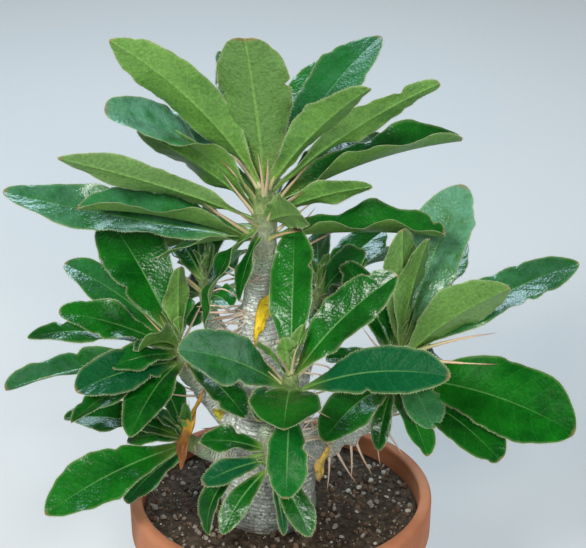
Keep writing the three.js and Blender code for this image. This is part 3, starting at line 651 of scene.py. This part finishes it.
# Spines on the wood: middle of the limb, heading, lift and length of each pair, and the degrees
# between its two spines where they aren't 50.
woodSpines = [
    [[-9, 2, 214], 205, 28, 26], [[-9, 2, 226], 335, 10, 28], [[-9, 2, 200], 250, 15, 32],
    [[-9, 2, 220], 195, 0, 34], [[-8, 3, 232], 170, 20, 26], [[-8, 3, 240], 18, 36, 40, 24],
    [[-8, 3, 238], 225, 5, 26],
    [[-9, 2, 206], 60, 25, 28], [[-8, 3, 230], 90, 20, 26], [[-8, 2, 190], 120, 20, 32],
    [[-8, 2, 186], 20, 25, 34], [[-7, 1, 172], 260, 20, 36], [[-6, 1, 150], 300, -5, 38],
    [[-6, 1, 150], 180, 0, 38], [[-6, 1, 146], 60, 5, 38], [[-6, 1, 158], 130, 15, 36],
    [[-33, -3, 175], 170, 5, 26], [[-30, -14, 149], 290, -15, 26], [[6, -32, 165], 330, 5, 26],
    [[6, -41, 180], 30, 20, 24], [[-7, -26, 163], 215, 0, 22], [[24, -16, 158], 290, -50, 26],
    [[34, -18, 165], 300, -65, 26], [[46, -19, 174], 310, -60, 26], [[42, -19, 171], 40, 10, 28],
    [[12, 24, 185], 30, 10, 26], [[-28, 24, 190], 180, 5, 26],
]


# Rosettes: the grey branch as x, y, z, radius, the ends and radius of the green stem, its leaves, and
# pairs of spines as place on the stem, heading, lift, length, and degrees apart where they aren't 50.
crown = {
    "branch": [
        [trunkX, 0, rootBottom, rootRadius], [trunkX, 0, 112, rootRadius], [trunkX, 0, 127, rootRadius],
        [-6, 1, 146, 22.5], [-7, 1, 168, 17.5], [-10, 2, 190, 13.5], [-10, 2, 215, 10.2], [-9, 3, 230, 8.2],
    ],
    "bottom": [-8, 2, 251], "top": [-7, 0, 286], "radius": 6,
    "leaves": [
        [0.95, [-75, -28, 367], 27, 27, -60, 2, 0.5],
        [0.75, [-84, 54, 306], 26, 30, 10, 2, 1.5, {"paintedSheen": 0.7}],
        [0.55, [-79, -22, 332], 30, 40, -55, 3, {"twist": 95, "fold": 15, "paintedSheen": 0.8}],
        [0.5, [-66, -4, 315], 28, 20, -50], [0.4, [-101, -26, 310], 19, 10, -60, 2, 2],
        [0, [-95, -8, 277], 32, 25, 0, 3, 1, {"fold": 40, "paintedSheen": 0.25}],
        [0.1, [-133, 16, 276], 25, -8, 30, 3, {"paintedSheen": 0.4}], [1, [-15, -32, 369], 35, 15, -5, 1.5],
        [0.95, [-28, 74, 326], 26, 25, -25, 2, 1, {"paintedSheen": 0.6}],
        [0.9, [49, 64, 338], 28, 30, -5, 2, 2.5, {"matt": 0.6, "paintedSheen": 0.15}],
        [0.95, [40, -38, 348], 22, 20, 35, 2, 0.8, {"fold": 25}],
        [0.85, [73, -9, 340], 18, 20, 60, 2.5, 1.2],
        [0.6, [87, 24, 299], 30, 30, 5, 3, 2.2, {"fold": 42}], [0.4, [10, -33, 285], 20, 15, 60, 1],
        [0.5, [43, -14, 291], 15, 20, 60, 2, 1],
        [0.1, [78, -6, 262], 31, 18, 0, 2.5, 1, {"waves": 3, "fold": 40}],
        [0.35, [-35, -26, 222], 20, 85, -35, {"waves": 3}], [0.2, [-19, -31, 240], 12, 70, -40, 1],
        [0.05, [-58, -5, 250], 18, 45, -20, 1.5], [0.3, [-61, 37, 236], 22, 40, -40, 2, 1],
        [0.7, [8, 82, 302], 22, 30, 25, 2, 2], [0.8, [27, 82, 320], 26, 30, 0, 2, 1],
        [0.4, [52, 70, 284], 23, 40], [0.2, [-10, 82, 256], 22, 40, 0, 2, 1],
    ],
    "spines": [
        [0.12, 190, 34, 44], [0.15, 330, 35, 34], [0.3, 265, 45, 34], [0.4, 180, 48, 36], [0.5, 335, 45, 38],
        [0.62, 235, 60, 38], [0.74, 300, 62, 38], [0.45, 70, 45, 36], [0.65, 120, 60, 36],
        [0.85, 192, 60, 44, 24], [0.9, 20, 66, 42, 30],
    ],
}

left = {
    "branch": [[-10, 0, 150, 12], [-31, -3, 172, 6.5], [-40, -3, 183, 5.2]],
    "bottom": [-46, -3, 192], "top": [-50, -4, 205], "radius": 4.4,
    "leaves": [
        [0.9, [-86, 40, 253], 33, 25, 20, 1.5, 0.4],
        [0.7, [-106, 22, 235], 23, 30, 20, 2, 1.4, {"paintedSheen": 0.15}],
        [0.5, [-105, -18, 228], 21, 25, 30, 2.5], [0.3, [-125, 13, 199], 16, 45, 20, 2, 1],
        [0.1, [-129, -42, 199], 21, 25, 10, 2.5, 2, {"fold": 32, "paintedSheen": 0.22}],
        [0, [-95, -49, 202], 23, 25, 30, 1.2], [0, [-98, -50, 186], 18, 35],
        [0.1, [-70, -57, 182], 23, 50, -5, 1.5, 1], [0.8, [-67, -31, 214], 19, 55, -45, {"fold": 30}],
        [0.4, [-80, -30, 205], 15, 30, 25], [1, [-50, 34, 222], 15, 20, -50],
        [0.7, [-68, 50, 224], 19, 40, -30], [0.4, [-80, 58, 210], 18, 35, 0, 2, 1],
        [0.2, [-104, 36, 196], 19, 35, 0, 2, 2], [0.1, [-16, -42, 184], 17, 35, -15, 1.5, 1],
        [0.8, [-48, -6, 246], 15, 20, -20, 1.2, 1],
    ],
    "spines": [[0.1, 250, 15, 28], [0.3, 330, 30, 28], [0.6, 200, 55, 28], [0.7, 80, 50, 28]],
}

lowLeft = {
    "branch": [[-12, -6, 140, 10], [-27, -12, 147, 6]],
    "bottom": [-40, -18, 155], "top": [-47, -22, 161], "radius": 4.2,
    "leaves": [
        [0.4, [-111, -62, 143], 28, 27, 25, 2, 1.5], [0.2, [-75, -36, 134], 16, 35, 20, 1.2],
        [0.75, [-76, -5, 151], 13, 40, 30, 1.2], [0.9, [-60, 4, 184], 16, 30, -10, 1.2],
        [0.6, [-105, -20, 172], 20, 40, 15], [1, [-62, -26, 180], 10, 20, 15, 1],
        [0.5, [-84, 18, 158], 16, 35],
    ],
    "spines": [[0.3, 300, 25, 24], [0.5, 120, 40, 24]],
}

front = {
    "branch": [[2, -12, 142, 9], [6, -32, 165, 5.2]],
    "bottom": [5, -49, 193], "top": [5, -55, 215], "radius": 4.2,
    "leaves": [
        [0.9, [7, -6, 266], 24, 15, 20, 1.2], [0.4, [-46, -71, 235], 27, 35, 45, 2, 1, {"paintedSheen": 0.3}],
        [0.7, [54, -47, 261], 24, 30, -40, 1.6, 0.5],
        [0.3, [77, -78, 225], 24, 40, -45, 1.5, {"matt": 1}], [0.5, [2, -96, 208], 32, 40, 0, 0.8],
        [1, [11, -55, 240], 10, 10, 45, 1], [1, [2, -60, 236], 9, 10, -40, 1],
        [0.8, [-11, -33, 218], 11, 50, -60, 1], [0.2, [-10, -84, 206], 18, 40, 25, 1],
        [0, [3, -84, 165], 20, 60, 0, 1, {"matt": 0.9}],
    ],
    "spines": [[0.2, 340, 10, 26], [0.5, 160, 35, 26], [0.7, 60, 40, 26], [0.9, 270, 60, 24]],
}

lowFront = {
    "branch": [[-6, -14, 142, 7], [-7, -26, 163, 4.6]],
    "bottom": [-6, -38, 169], "top": [-4, -52, 160], "radius": 3.2,
    "leaves": [
        [0.3, [-38, -43, 172], 16, 40, 20, 2], [0.6, [-36, -64, 161], 13, 30, 30, 1],
        [0.3, [-34, -56, 128], 13, 100, 20, 1, {"fold": 25, "matt": 0.6}],
        [0.9, [-27, -76, 141], 12, 50, 25, 1], [0.9, [14, -72, 137], 14, 40, -20, 1],
        [1, [2, -66, 134], 7, 30, 20, 0.8],
    ],
    "spines": [[0.3, 240, -20, 18], [0.1, 320, -10, 20]],
}

right = {
    "branch": [[8, -8, 145, 11], [24, -16, 158, 6.5], [42, -19, 170, 5.6]],
    "bottom": [54, -17, 182], "top": [58, -10, 206], "radius": 4.4,
    "leaves": [
        [1, [57, -20, 272], 21, 15, -40, 1.2], [0.9, [70, -8, 262], 23, 15, 50, 1.5],
        # the next leaf's young tint and strong painted sheen together stand for a bright reflection on its
        # upper side
        [0.9, [90, 36, 271], 32, 20, -14, 1.5, {"young": 0.6, "paintedSheen": 0.8}],
        [0.7, [109, -16, 240], 33, 25, 60, 1.5], [0.7, [147, 25, 234], 25, 25, -25, {"paintedSheen": 0.2}],
        [0.3, [139, -48, 179], 40, 35, -35, 2.5, 1, {"matt": 1}], [0.1, [104, -51, 166], 27, 40, -15],
        [0.5, [72, -44, 179], 22, 60, 0, 1.2, {"paintedSheen": 0.3}], [0, [69, -59, 173], 18, 50, 20, 1.2],
        [0.1, [20, -68, 186], 22, 45, 20, 1.2], [0.7, [98, 52, 152], 20, 35, -15],
        [0.7, [92, 46, 236], 22, 35, 0, 2, 1], [0.5, [58, 54, 218], 20, 35, 0, 2, 2],
        [0.3, [84, 62, 214], 20, 40, 0, 2, 1], [0.1, [47, -38, 164], 10, 70, 0, 1],
        [0.6, [31, 14, 239], 20, 30, 15, 1.5], [0.4, [22, -12, 200], 17, 40, 10, 1.5, 2],
    ],
    "spines": [[0.8, 350, 10, 49, 12], [0.3, 210, 20, 28], [0.6, 160, 45, 28], [0.8, 60, 45, 28]],
}

backRight = {
    "branch": [[4, 10, 165, 9], [12, 24, 185, 5.5]],
    "bottom": [18, 33, 200], "top": [19, 36, 215], "radius": 4,
    "leaves": [
        [0.8, [52, 66, 233], 22, 25, -15, 1.5], [0.4, [60, 76, 220], 20, 25, 15, 2, 2],
        [0.5, [42, 24, 240], 19, 30, -50], [0.2, [31, 4, 221], 18, 40, -45],
        [0.9, [19, 82, 226], 20, 20, 40], [0.5, [4, 80, 212], 19, 40, -40],
        [0.2, [34, 82, 202], 18, 35, 0, 2, 1], [0.1, [22, 1, 210], 15, 45, -20, 1.5],
        [0.1, [-2, 68, 196], 16, 40],
    ],
    "spines": [[0.4, 350, 40, 30], [0.5, 110, 40, 28]],
}

backLeft = {
    "branch": [[-14, 10, 165, 9], [-28, 24, 190, 5.5]],
    "bottom": [-36, 33, 206], "top": [-38, 36, 220], "radius": 4,
    "leaves": [
        [0.8, [-60, 74, 236], 18, 30, 15], [0.4, [-66, 60, 190], 19, 30, 30],
        [0.9, [-36, 82, 240], 16, 25, -30], [0.5, [-18, 76, 218], 19, 30, 20],
        [0.2, [-56, 74, 196], 15, 50, 20], [0.3, [-24, 12, 216], 16, 50, -20, 1.5],
        [0.1, [-46, 26, 199], 15, 50, 0, 1.5], [0.6, [-52, 88, 216], 19, 30, 0, 2, 2],
        [0.1, [-28, 78, 194], 19, 40, 0, 2, 1],
    ],
    "spines": [[0.4, 190, 40, 28], [0.6, 70, 45, 28]],
}

rosettes = {
    "crown_leaves": crown, "left_leaves": left, "low_left_leaves": lowLeft, "front_leaves": front,
    "low_front_leaves": lowFront, "right_leaves": right, "back_right_leaves": backRight,
    "back_left_leaves": backLeft,
}


# The two ends of a green stem and the direction between them.
def stemEnds(r):
    bottom, top = np.array(r["bottom"], float), np.array(r["top"], float)
    return bottom, top, unitRows(top - bottom)


# A green stem tip: a tube with low lumps where leaves have dropped, sunk a little into its arm.
def stemPart(r, seed):
    bottom, top, along = stemEnds(r)
    radius = r["radius"]
    stations = [
        [*(bottom - along * 2.5), radius * 0.96], [*bottom, radius],
        [*(bottom + (top - bottom) * 0.55), radius], [*(bottom + (top - bottom) * 0.9), radius * 0.8],
        [*top, radius * 0.4],
    ]

    def lumps(angle, place, centre):
        return 1 + 0.05 * np.sin(5 * angle + 9 * place) * np.sin(26 * place + 2 * angle)

    grid = tubeGrid(stations, 36, 48, lumps)
    outward = unitRows(grid - grid.mean(axis=1, keepdims=True))
    part = closeRings(grid + outward * (0.35 * softNoise(grid, 2.6, seed))[..., None], top + along * 0.6)
    height = (part["points"] - bottom) @ along / np.linalg.norm(top - bottom)
    part["values"] = {"height": np.clip(height, 0, 1)}
    return part


# The newest leaves: short and upright, in a spiral round the stem's tip.
def budLeaves(r):
    _, top, along = stemEnds(r)
    made = []
    for k in range(6):  # each turned by the golden angle from the last, steeper, shorter and narrower
        way = unitRows(wayTo(137.5 * k + 40, 58 + 5 * k) + along * 0.5)
        tip = top + way * (r["radius"] * (4.6 - 0.5 * k))
        wide = 2.0 + r["radius"] * (1.25 - 0.15 * k)
        made.append((top - along * (1.5 - 0.2 * k), [1, tip, wide, 20, 0, 0.4, {"fold": 30, "young": 0.8}]))
    return made


def growRosette(name, r, seed):
    rng = np.random.default_rng(seed)
    bottom, top, _ = stemEnds(r)
    leaves = [(bottom + (top - bottom) * (0.12 + 0.8 * row[0]), row, blade["grid"]) for row in r["leaves"]]
    leaves += [(root, row, blade["budGrid"]) for root, row in budLeaves(r)]
    parts, hairs, spines = [], [], []
    for root, row, grid in leaves:
        grids, shape = bladeSurface(root, row, rng, *grid)
        parts.append(bladePart(*grids))
        hairs += hairParts(grids[0], shape, rng)
    for at, heading, lift, length, *spread in r["spines"]:
        root = bottom + (top - bottom) * at
        spines += spinePair(root, heading, lift, length, r["radius"], rng, 1.0, *spread)
    short = name.replace("_leaves", "")
    buildPiece(short + "_blades", parts, [upperSkin, underSkin], name)
    buildPiece(short + "_stem", [stemPart(r, seed)], [stemSkin], name)
    buildPiece(short + "_spines", spines, [hornSkin], name)
    buildPiece(short + "_hairs", hairs, [hairSkin], name, stands=False)


for number, (name, r) in enumerate(rosettes.items()):
    growRosette(name, r, 40 + number)
print("rosettes grown")

bark = {
    "voxel": 0.75, "smoothing": 10, "wrinkle": 0.20, "lump": 0.55,
    "soilLine": 111, "dampBelow": 116,  # heights: the skin is plain below the first, dark below the second
    "greenLast": 26,  # young wood at the end of each limb
    "swell": 2.1, "swellWide": 2.3, "seatWide": 2.6,  # the mound under a spine, and its tint
}


def armStations(r):
    bottom, _, along = stemEnds(r)
    return [*r["branch"], [*(bottom - along * 5), r["radius"] + 0.5], [*bottom, r["radius"] + 0.3]]


# Lobes round the foot: three wide and five narrow ones, fading out at the soil.
def footRelief(angle, place, centre):
    height = centre[..., 2]
    fade = np.clip((height - 114) / 20, 0, 1)
    return 1 + fade * (0.07 * np.cos(3 * angle + height / 30) + 0.04 * np.cos(5 * angle - height / 11))


# Limbs joined into one skin by voxels, smoothed, then lifted along its normals by lumps, rings
# across each limb, and a low mound under each pair of spines.
def growTrunk():
    limbs = [armStations(r) for r in rosettes.values()]
    parts = [closeRings(tubeGrid(limbs[0], 64, 90, footRelief))]
    parts += [closeRings(tubeGrid(stations, 32, 40)) for stations in limbs[1:]]
    rough = buildPiece("trunk_limbs", parts, [], "trunk")
    melt = rough.modifiers.new("melt", "REMESH")
    melt.mode, melt.voxel_size = "VOXEL", bark["voxel"] * mm
    ease = rough.modifiers.new("ease", "SMOOTH")
    ease.factor, ease.iterations = 0.5, bark["smoothing"]
    solid = rough.evaluated_get(bpy.context.evaluated_depsgraph_get()).to_mesh()
    points, normals = readMesh(solid.vertices, "co", 3) / mm, readMesh(solid.vertices, "normal", 3)
    quads = readMesh(solid.loops, "vertex_index", 4, int, 1)
    count = len(points)
    bpy.data.objects.remove(rough)

    # the nearest point of the limbs' middle lines gives each skin point its distance along
    nearest, along, green = np.full(count, 1e9), np.zeros(count), np.zeros(count)
    greenLast = bark["greenLast"]
    lines = [smoothPath(stations, np.linspace(0, len(stations) - 1, 80)) for stations in limbs]
    for k, line in enumerate(lines):
        run = runAlong(line[:, :3])
        gaps = np.linalg.norm(points[:, None, :] - line[None, :, :3], axis=2) - line[None, :, 3]
        best = gaps.argmin(axis=1)
        gap = gaps[np.arange(count), best]
        closer = gap < nearest
        nearest = np.where(closer, gap, nearest)
        along = np.where(closer, run[best] + 40 * k, along)
        green = np.where(closer, np.clip((run[best] - run[-1] + greenLast) / greenLast, 0, 1), green)
    ringed = np.sin(along / 1.15 + 3.0 * softNoise(points, 9.0, 21) + 1.2 * softNoise(points, 3.2, 22))
    fade = np.clip((points[:, 2] - bark["soilLine"]) / 8, 0, 1)
    lift = fade * (bark["lump"] * softNoise(points, 11.0, 23) + 0.25 * softNoise(points, 4.0, 24))
    lift += fade * bark["wrinkle"] * ringed * np.clip(0.6 + softNoise(points, 14.0, 25), 0, 1)
    spines, rng, seat = [], np.random.default_rng(7), np.zeros(count)
    for root, heading, upward, length, *spread in woodSpines:
        gaps = [np.linalg.norm(line[:, :3] - root, axis=1) for line in lines]
        start = min(line[gap.argmin(), 3] for line, gap in zip(lines, gaps) if gap.min() < 4)
        spines += spinePair(root, heading, upward, length, start, rng, 0.0, *spread)
        for way in pairAngles(heading, upward, *spread):
            far = np.linalg.norm(points - (np.array(root) + wayTo(*way) * start), axis=1)
            lift += bark["swell"] * np.exp(-(far / bark["swellWide"]) ** 2)
            seat = np.maximum(seat, np.exp(-(far / bark["seatWide"]) ** 2))
    points = points + normals * lift[:, None]
    damp = np.clip((bark["dampBelow"] - points[:, 2]) / 6, 0, 1)
    skin = {"points": points, "quads": quads}
    skin["values"] = {"along": along, "green": green ** 1.5, "seat": seat, "soil": damp}
    buildPiece("trunk_bark", [skin], [barkSkin], "trunk")
    buildPiece("trunk_spines", spines, [hornSkin], "trunk")


# Dry stalks of dropped leaves, caught between the spines: middle of the limb, its radius, heading,
# lift, how many, and how far they spread in height.
litter = [
    [[-9, 2, 214], 10.0, 195, 5, 12, 26], [[-34, -3, 177], 5.5, 110, 30, 6, 10],
    [[-9, 2, 200], 12.0, 345, 5, 7, 24], [[20, -13, 156], 6.5, 90, 30, 7, 12],
    [[5, -30, 163], 5.5, 20, 20, 6, 10],
]


def dropStalks():
    rng = np.random.default_rng(23)
    parts = []
    for middle, radius, heading, lift, count, spread in litter:
        for _ in range(count):
            way = wayTo(heading + rng.uniform(-38, 38), lift + rng.uniform(-35, 35))
            root = np.array(middle) + way * (radius - 1.2) + np.array([0, 0, rng.uniform(-0.5, 0.5) * spread])
            bow = rng.uniform(-1, 1, 3) * 5
            length, thick = rng.uniform(12, 24), rng.uniform(0.3, 0.6)
            stations = [
                [*root, thick * 1.8], [*(root + way * length * 0.35 + bow * 0.7), thick],
                [*(root + way * length * 0.7 + bow), thick * 0.8],
                [*(root + way * length + bow * 0.3 - [0, 0, 4]), thick * 0.4],
            ]
            part = closeRings(tubeGrid(stations, 6, 14))
            full = np.ones(len(part["points"]))
            place = np.concatenate([np.repeat(np.linspace(0, 0.7, 15), 6), [0, 0.7]])
            part["values"] = {"place": place, "young": 0 * full, "tone": full * rng.uniform(0, 1.6)}
            parts.append(part)
    buildPiece("dry_stalks", parts, [hornSkin], "trunk", stands=False)


growTrunk()
dropStalks()
print("trunk grown")

# Dead leaves: where they hang, their form, and their finish as its name, pale, warm and dry colours,
# where on the blade the dry part begins, and whether it is the foot that is dry.
deadLeaves = {
    "withered_leaf_trunk": {
        "root": [-12, -9.5, 206],
        "leaf": [0, [-2, -13, 236], 9, 20, 65, 1.2, {"fold": 30}],
        "finish": ("yellow_leaf", (0.86, 0.70, 0.02), (0.80, 0.55, 0.02), (0.30, 0.14, 0.04), 0.92, True),
    },
    "withered_leaf_left": {
        "root": [-37, -8.9, 182],
        "leaf": [0, [-48, -32, 150], 7, 50, 10, 1.6, {"waves": 3, "fold": 40}],
        "finish": ("orange_leaf", (0.74, 0.45, 0.04), (0.50, 0.22, 0.03), (0.22, 0.090, 0.028), 0.58, False),
    },
    "yellow_leaf_left": {
        "root": [-30, -9.1, 164],
        "leaf": [0, [-30, -17, 175], 7, 30, 0, 1, {"fold": 20}],
        "finish": ("lime_leaf", (0.55, 0.58, 0.05), (0.72, 0.58, 0.04), (0.42, 0.27, 0.06), 1.05, False),
    },
    "withered_leaf_right": {
        "root": [25, -22.8, 160],
        "leaf": [0, [19, -30, 142], 6, 40, 0, 1.2, {"fold": 35}],
        "finish": ("straw_leaf", (0.74, 0.55, 0.10), (0.62, 0.40, 0.10), (0.34, 0.22, 0.10), 0.8, False),
    },
}


def hangDeadLeaves():
    rng = np.random.default_rng(91)
    for name, d in deadLeaves.items():
        grids, _ = bladeSurface(d["root"], d["leaf"], rng, *blade["deadGrid"], crumple=1.4)
        skin = witheredFinish(*d["finish"])
        buildPiece(name + "_blade", [bladePart(*grids)], [skin, skin], name)


hangDeadLeaves()
print("dead leaves hung")

pot = {
    "height": 120, "foot": 52, "neck": 69, "rim": 76, "band": 24, "wall": 6, "floor": 9, "lip": 2.5,
    "drainRadius": 5, "drainCircle": 28, "segments": 180,
}


def potInside(height):
    bandBottom = pot["height"] - pot["band"]
    slope = (pot["neck"] - pot["foot"]) / bandBottom
    return pot["neck"] - pot["wall"] - (bandBottom - height) * slope


# A profile with points added along its sides, its corners then cut twice, which rounds them.
def roundedProfile(outline, step=3.0, cuts=2):
    line = np.array(outline, float)
    dense = [line[0]]
    for a, b in zip(line[:-1], line[1:]):
        n = max(1, int(np.linalg.norm(b - a) / step))
        dense += [a + (b - a) * k / n for k in range(1, n + 1)]
    line = np.array(dense)
    for _ in range(cuts):
        a, b = line[:-1], line[1:]
        between = np.stack([a * 0.75 + b * 0.25, a * 0.25 + b * 0.75], axis=1).reshape(-1, 2)
        line = np.vstack([line[:1], between, line[-1:]])
    return line


# The profile turned round the Z axis; moved may shift the points.
def turnedPart(profile, segments, moved=None):
    angle = np.arange(segments) / segments * 2 * math.pi
    radius, height = profile[:, :1], profile[:, 1:]
    grid = np.stack([radius * np.cos(angle), radius * np.sin(angle), height + 0 * angle], axis=-1)
    if moved:
        grid = moved(grid, radius + 0 * angle)
    return closeRings(grid)


def throwPot():
    height, foot, rim, wall, floor, lip = (pot[k] for k in ("height", "foot", "rim", "wall", "floor", "lip"))
    bandBottom = height - pot["band"]
    outline = [
        [foot - 14, 0.0], [foot - 1.5, 0.0], [foot, 2.0], [pot["neck"], bandBottom - 4],
        [rim - 1.5, bandBottom], [rim - 0.5, bandBottom + 3],
        [rim, height - lip], [rim - lip * 0.3, height - lip * 0.3],
        [rim - lip, height], [rim - wall, height - 0.4], [rim - wall - 1, bandBottom + 2],
        [potInside(bandBottom - 4), bandBottom - 4], [potInside(floor + 4), floor + 4],
        [potInside(floor) - 3, floor], [20, floor],
    ]
    shell = turnedPart(roundedProfile(outline), pot["segments"])
    piece = buildPiece("terracotta_pot", [shell], [terracottaFinish()], "pot")
    plugs, r = [], pot["drainRadius"]
    for k in range(4):
        a = math.radians(k * 90 + 45)
        x, y = pot["drainCircle"] * math.cos(a), pot["drainCircle"] * math.sin(a)
        stations = [[x, y, -2, r], [x, y, floor / 2, r * 0.96], [x, y, floor + 2, r]]
        plugs.append(closeRings(tubeGrid(stations, 40, 6)))
    drill = buildPiece("drill", plugs, [], "pot")
    cut = piece.modifiers.new("drain_holes", "BOOLEAN")
    cut.operation, cut.object, cut.solver = "DIFFERENCE", drill, "EXACT"
    whole = bpy.data.meshes.new_from_object(piece.evaluated_get(bpy.context.evaluated_depsgraph_get()))
    piece.modifiers.clear()
    piece.data = whole
    bpy.data.objects.remove(drill)


mix = {
    "top": 110, "gap": 0.3,  # its height, and how far it stays off the pot and the trunk
    "sunk": 1.6, "shiftWithin": 60,  # how far it sinks at the trunk, and the radius that stays round the pot
    "stones": 1700, "stoneSize": 0.5, "stoneMore": 1.7, "stoneCuts": 5, "stoneRise": 0.25,
}


def mixRelief(x, y):
    flat = np.stack([x, y, 0 * x], axis=-1)
    return 1.1 * softNoise(flat, 14.0, 31) + 0.7 * softNoise(flat, 5.0, 32) + 0.4 * softNoise(flat, 2.2, 33)


def fillPot():
    bandBottom, g = pot["height"] - pot["band"], mix["gap"]
    hole, bed, edge = rootRadius + g + 0.1, pot["floor"] + g, pot["rim"] - pot["wall"] - 1 - g
    profile = [
        [potInside(bed) - 3 - g, bed], [potInside(pot["floor"] + 4) - g, pot["floor"] + 4 + g],
        [potInside(bandBottom - 4) - g, bandBottom - 4], [edge, bandBottom + 3], [edge, mix["top"] - 0.8],
    ]
    topRings = [[radius, mix["top"]] for radius in np.linspace(edge - 0.4, hole, 46)]
    profile = np.array(profile + topRings + [[hole, rootBottom - g]])

    # the hole stands round the trunk, off the pot's axis; the top is uneven and sinks towards the trunk
    def moved(grid, radius):
        x, y, height = np.moveaxis(grid, -1, 0)
        share = np.clip((radius - hole) / (mix["shiftWithin"] - hole), 0, 1)
        top = (height > mix["top"] - 1) & (radius < edge - 0.2)
        shift = np.where(height > rootBottom - 1.5, trunkX * (1 - share), 0)
        sunk = mix["sunk"] * np.clip(1 - (radius - hole) / 9, 0, 1)
        lift = mixRelief(x, y) * np.clip((edge - radius) / 6, 0, 1) - sunk
        return grid + np.stack([shift, 0 * shift, np.where(top, lift, 0)], axis=-1)

    buildPiece("potting_mix", [turnedPart(profile, 150, moved)], [soilFinish()], "soil")

    # stones: one lumpy ball of 80 faces, squashed, turned and sized at random, half sunk in the mix
    rng = np.random.default_rng(5)
    ball = bpy.data.meshes.new("ball")
    shape = bmesh.new()
    bmesh.ops.create_icosphere(shape, subdivisions=2, radius=1.0)
    shape.to_mesh(ball)
    shape.free()
    unitBall = readMesh(ball.vertices, "co", 3)
    ballFaces = readMesh(ball.loops, "vertex_index", 3, int, 1)
    count = mix["stones"]
    radius = np.sqrt(rng.uniform(0, 1, count)) * (edge - 2)
    angle = rng.uniform(0, 2 * math.pi, count)
    x, y = radius * np.cos(angle), radius * np.sin(angle)
    keep = np.hypot(x - trunkX, y) > rootRadius + 2.2
    x, y, count = x[keep], y[keep], int(keep.sum())
    size = mix["stoneSize"] + mix["stoneMore"] * rng.uniform(0, 1, count) ** 3
    squash = rng.uniform(0.55, 1.0, (count, 3))
    turn = np.linalg.qr(rng.normal(size=(count, 3, 3)))[0]
    turn[np.linalg.det(turn) < 0, :, 0] *= -1
    lumps = 1 + 0.22 * softNoise(unitBall[None] * 2 + np.arange(count)[:, None, None] * 3.1, 1.3, 34)
    stones = unitBall[None] * lumps[..., None]
    for _ in range(mix["stoneCuts"]):  # each cut moves what lies past a plane back to it
        plane = unitRows(rng.normal(size=(count, 1, 3)))
        past = (stones * plane).sum(axis=2, keepdims=True) - rng.uniform(0.4, 0.8, (count, 1, 1))
        stones = stones - plane * np.maximum(past, 0)
    stones = (stones * squash[:, None, :]) @ turn.transpose(0, 2, 1) * size[:, None, None]
    stones += np.stack([x, y, mix["top"] + mixRelief(x, y) + size * mix["stoneRise"]], axis=-1)[:, None, :]
    faces = (ballFaces[None] + np.arange(count)[:, None, None] * len(unitBall)).reshape(-1, 3)
    tone = np.repeat(rng.uniform(size=count), len(unitBall))
    grit = {"points": stones.reshape(-1, 3), "fans": faces, "values": {"tone": tone}}
    buildPiece("grit", [grit], [gritFinish()], "soil", stands=False, smooth=False)


throwPot()
fillPot()
print("pot filled")

floorMesh = bpy.data.meshes.new("floor")
floorMesh.from_pydata([(-6, -6, 0), (6, -6, 0), (6, 6, 0), (-6, 6, 0)], [], [(0, 1, 2, 3)])
floorMesh.materials.append(floorFinish())
floor = bpy.data.objects.new("floor", floorMesh)
bpy.context.collection.objects.link(floor)
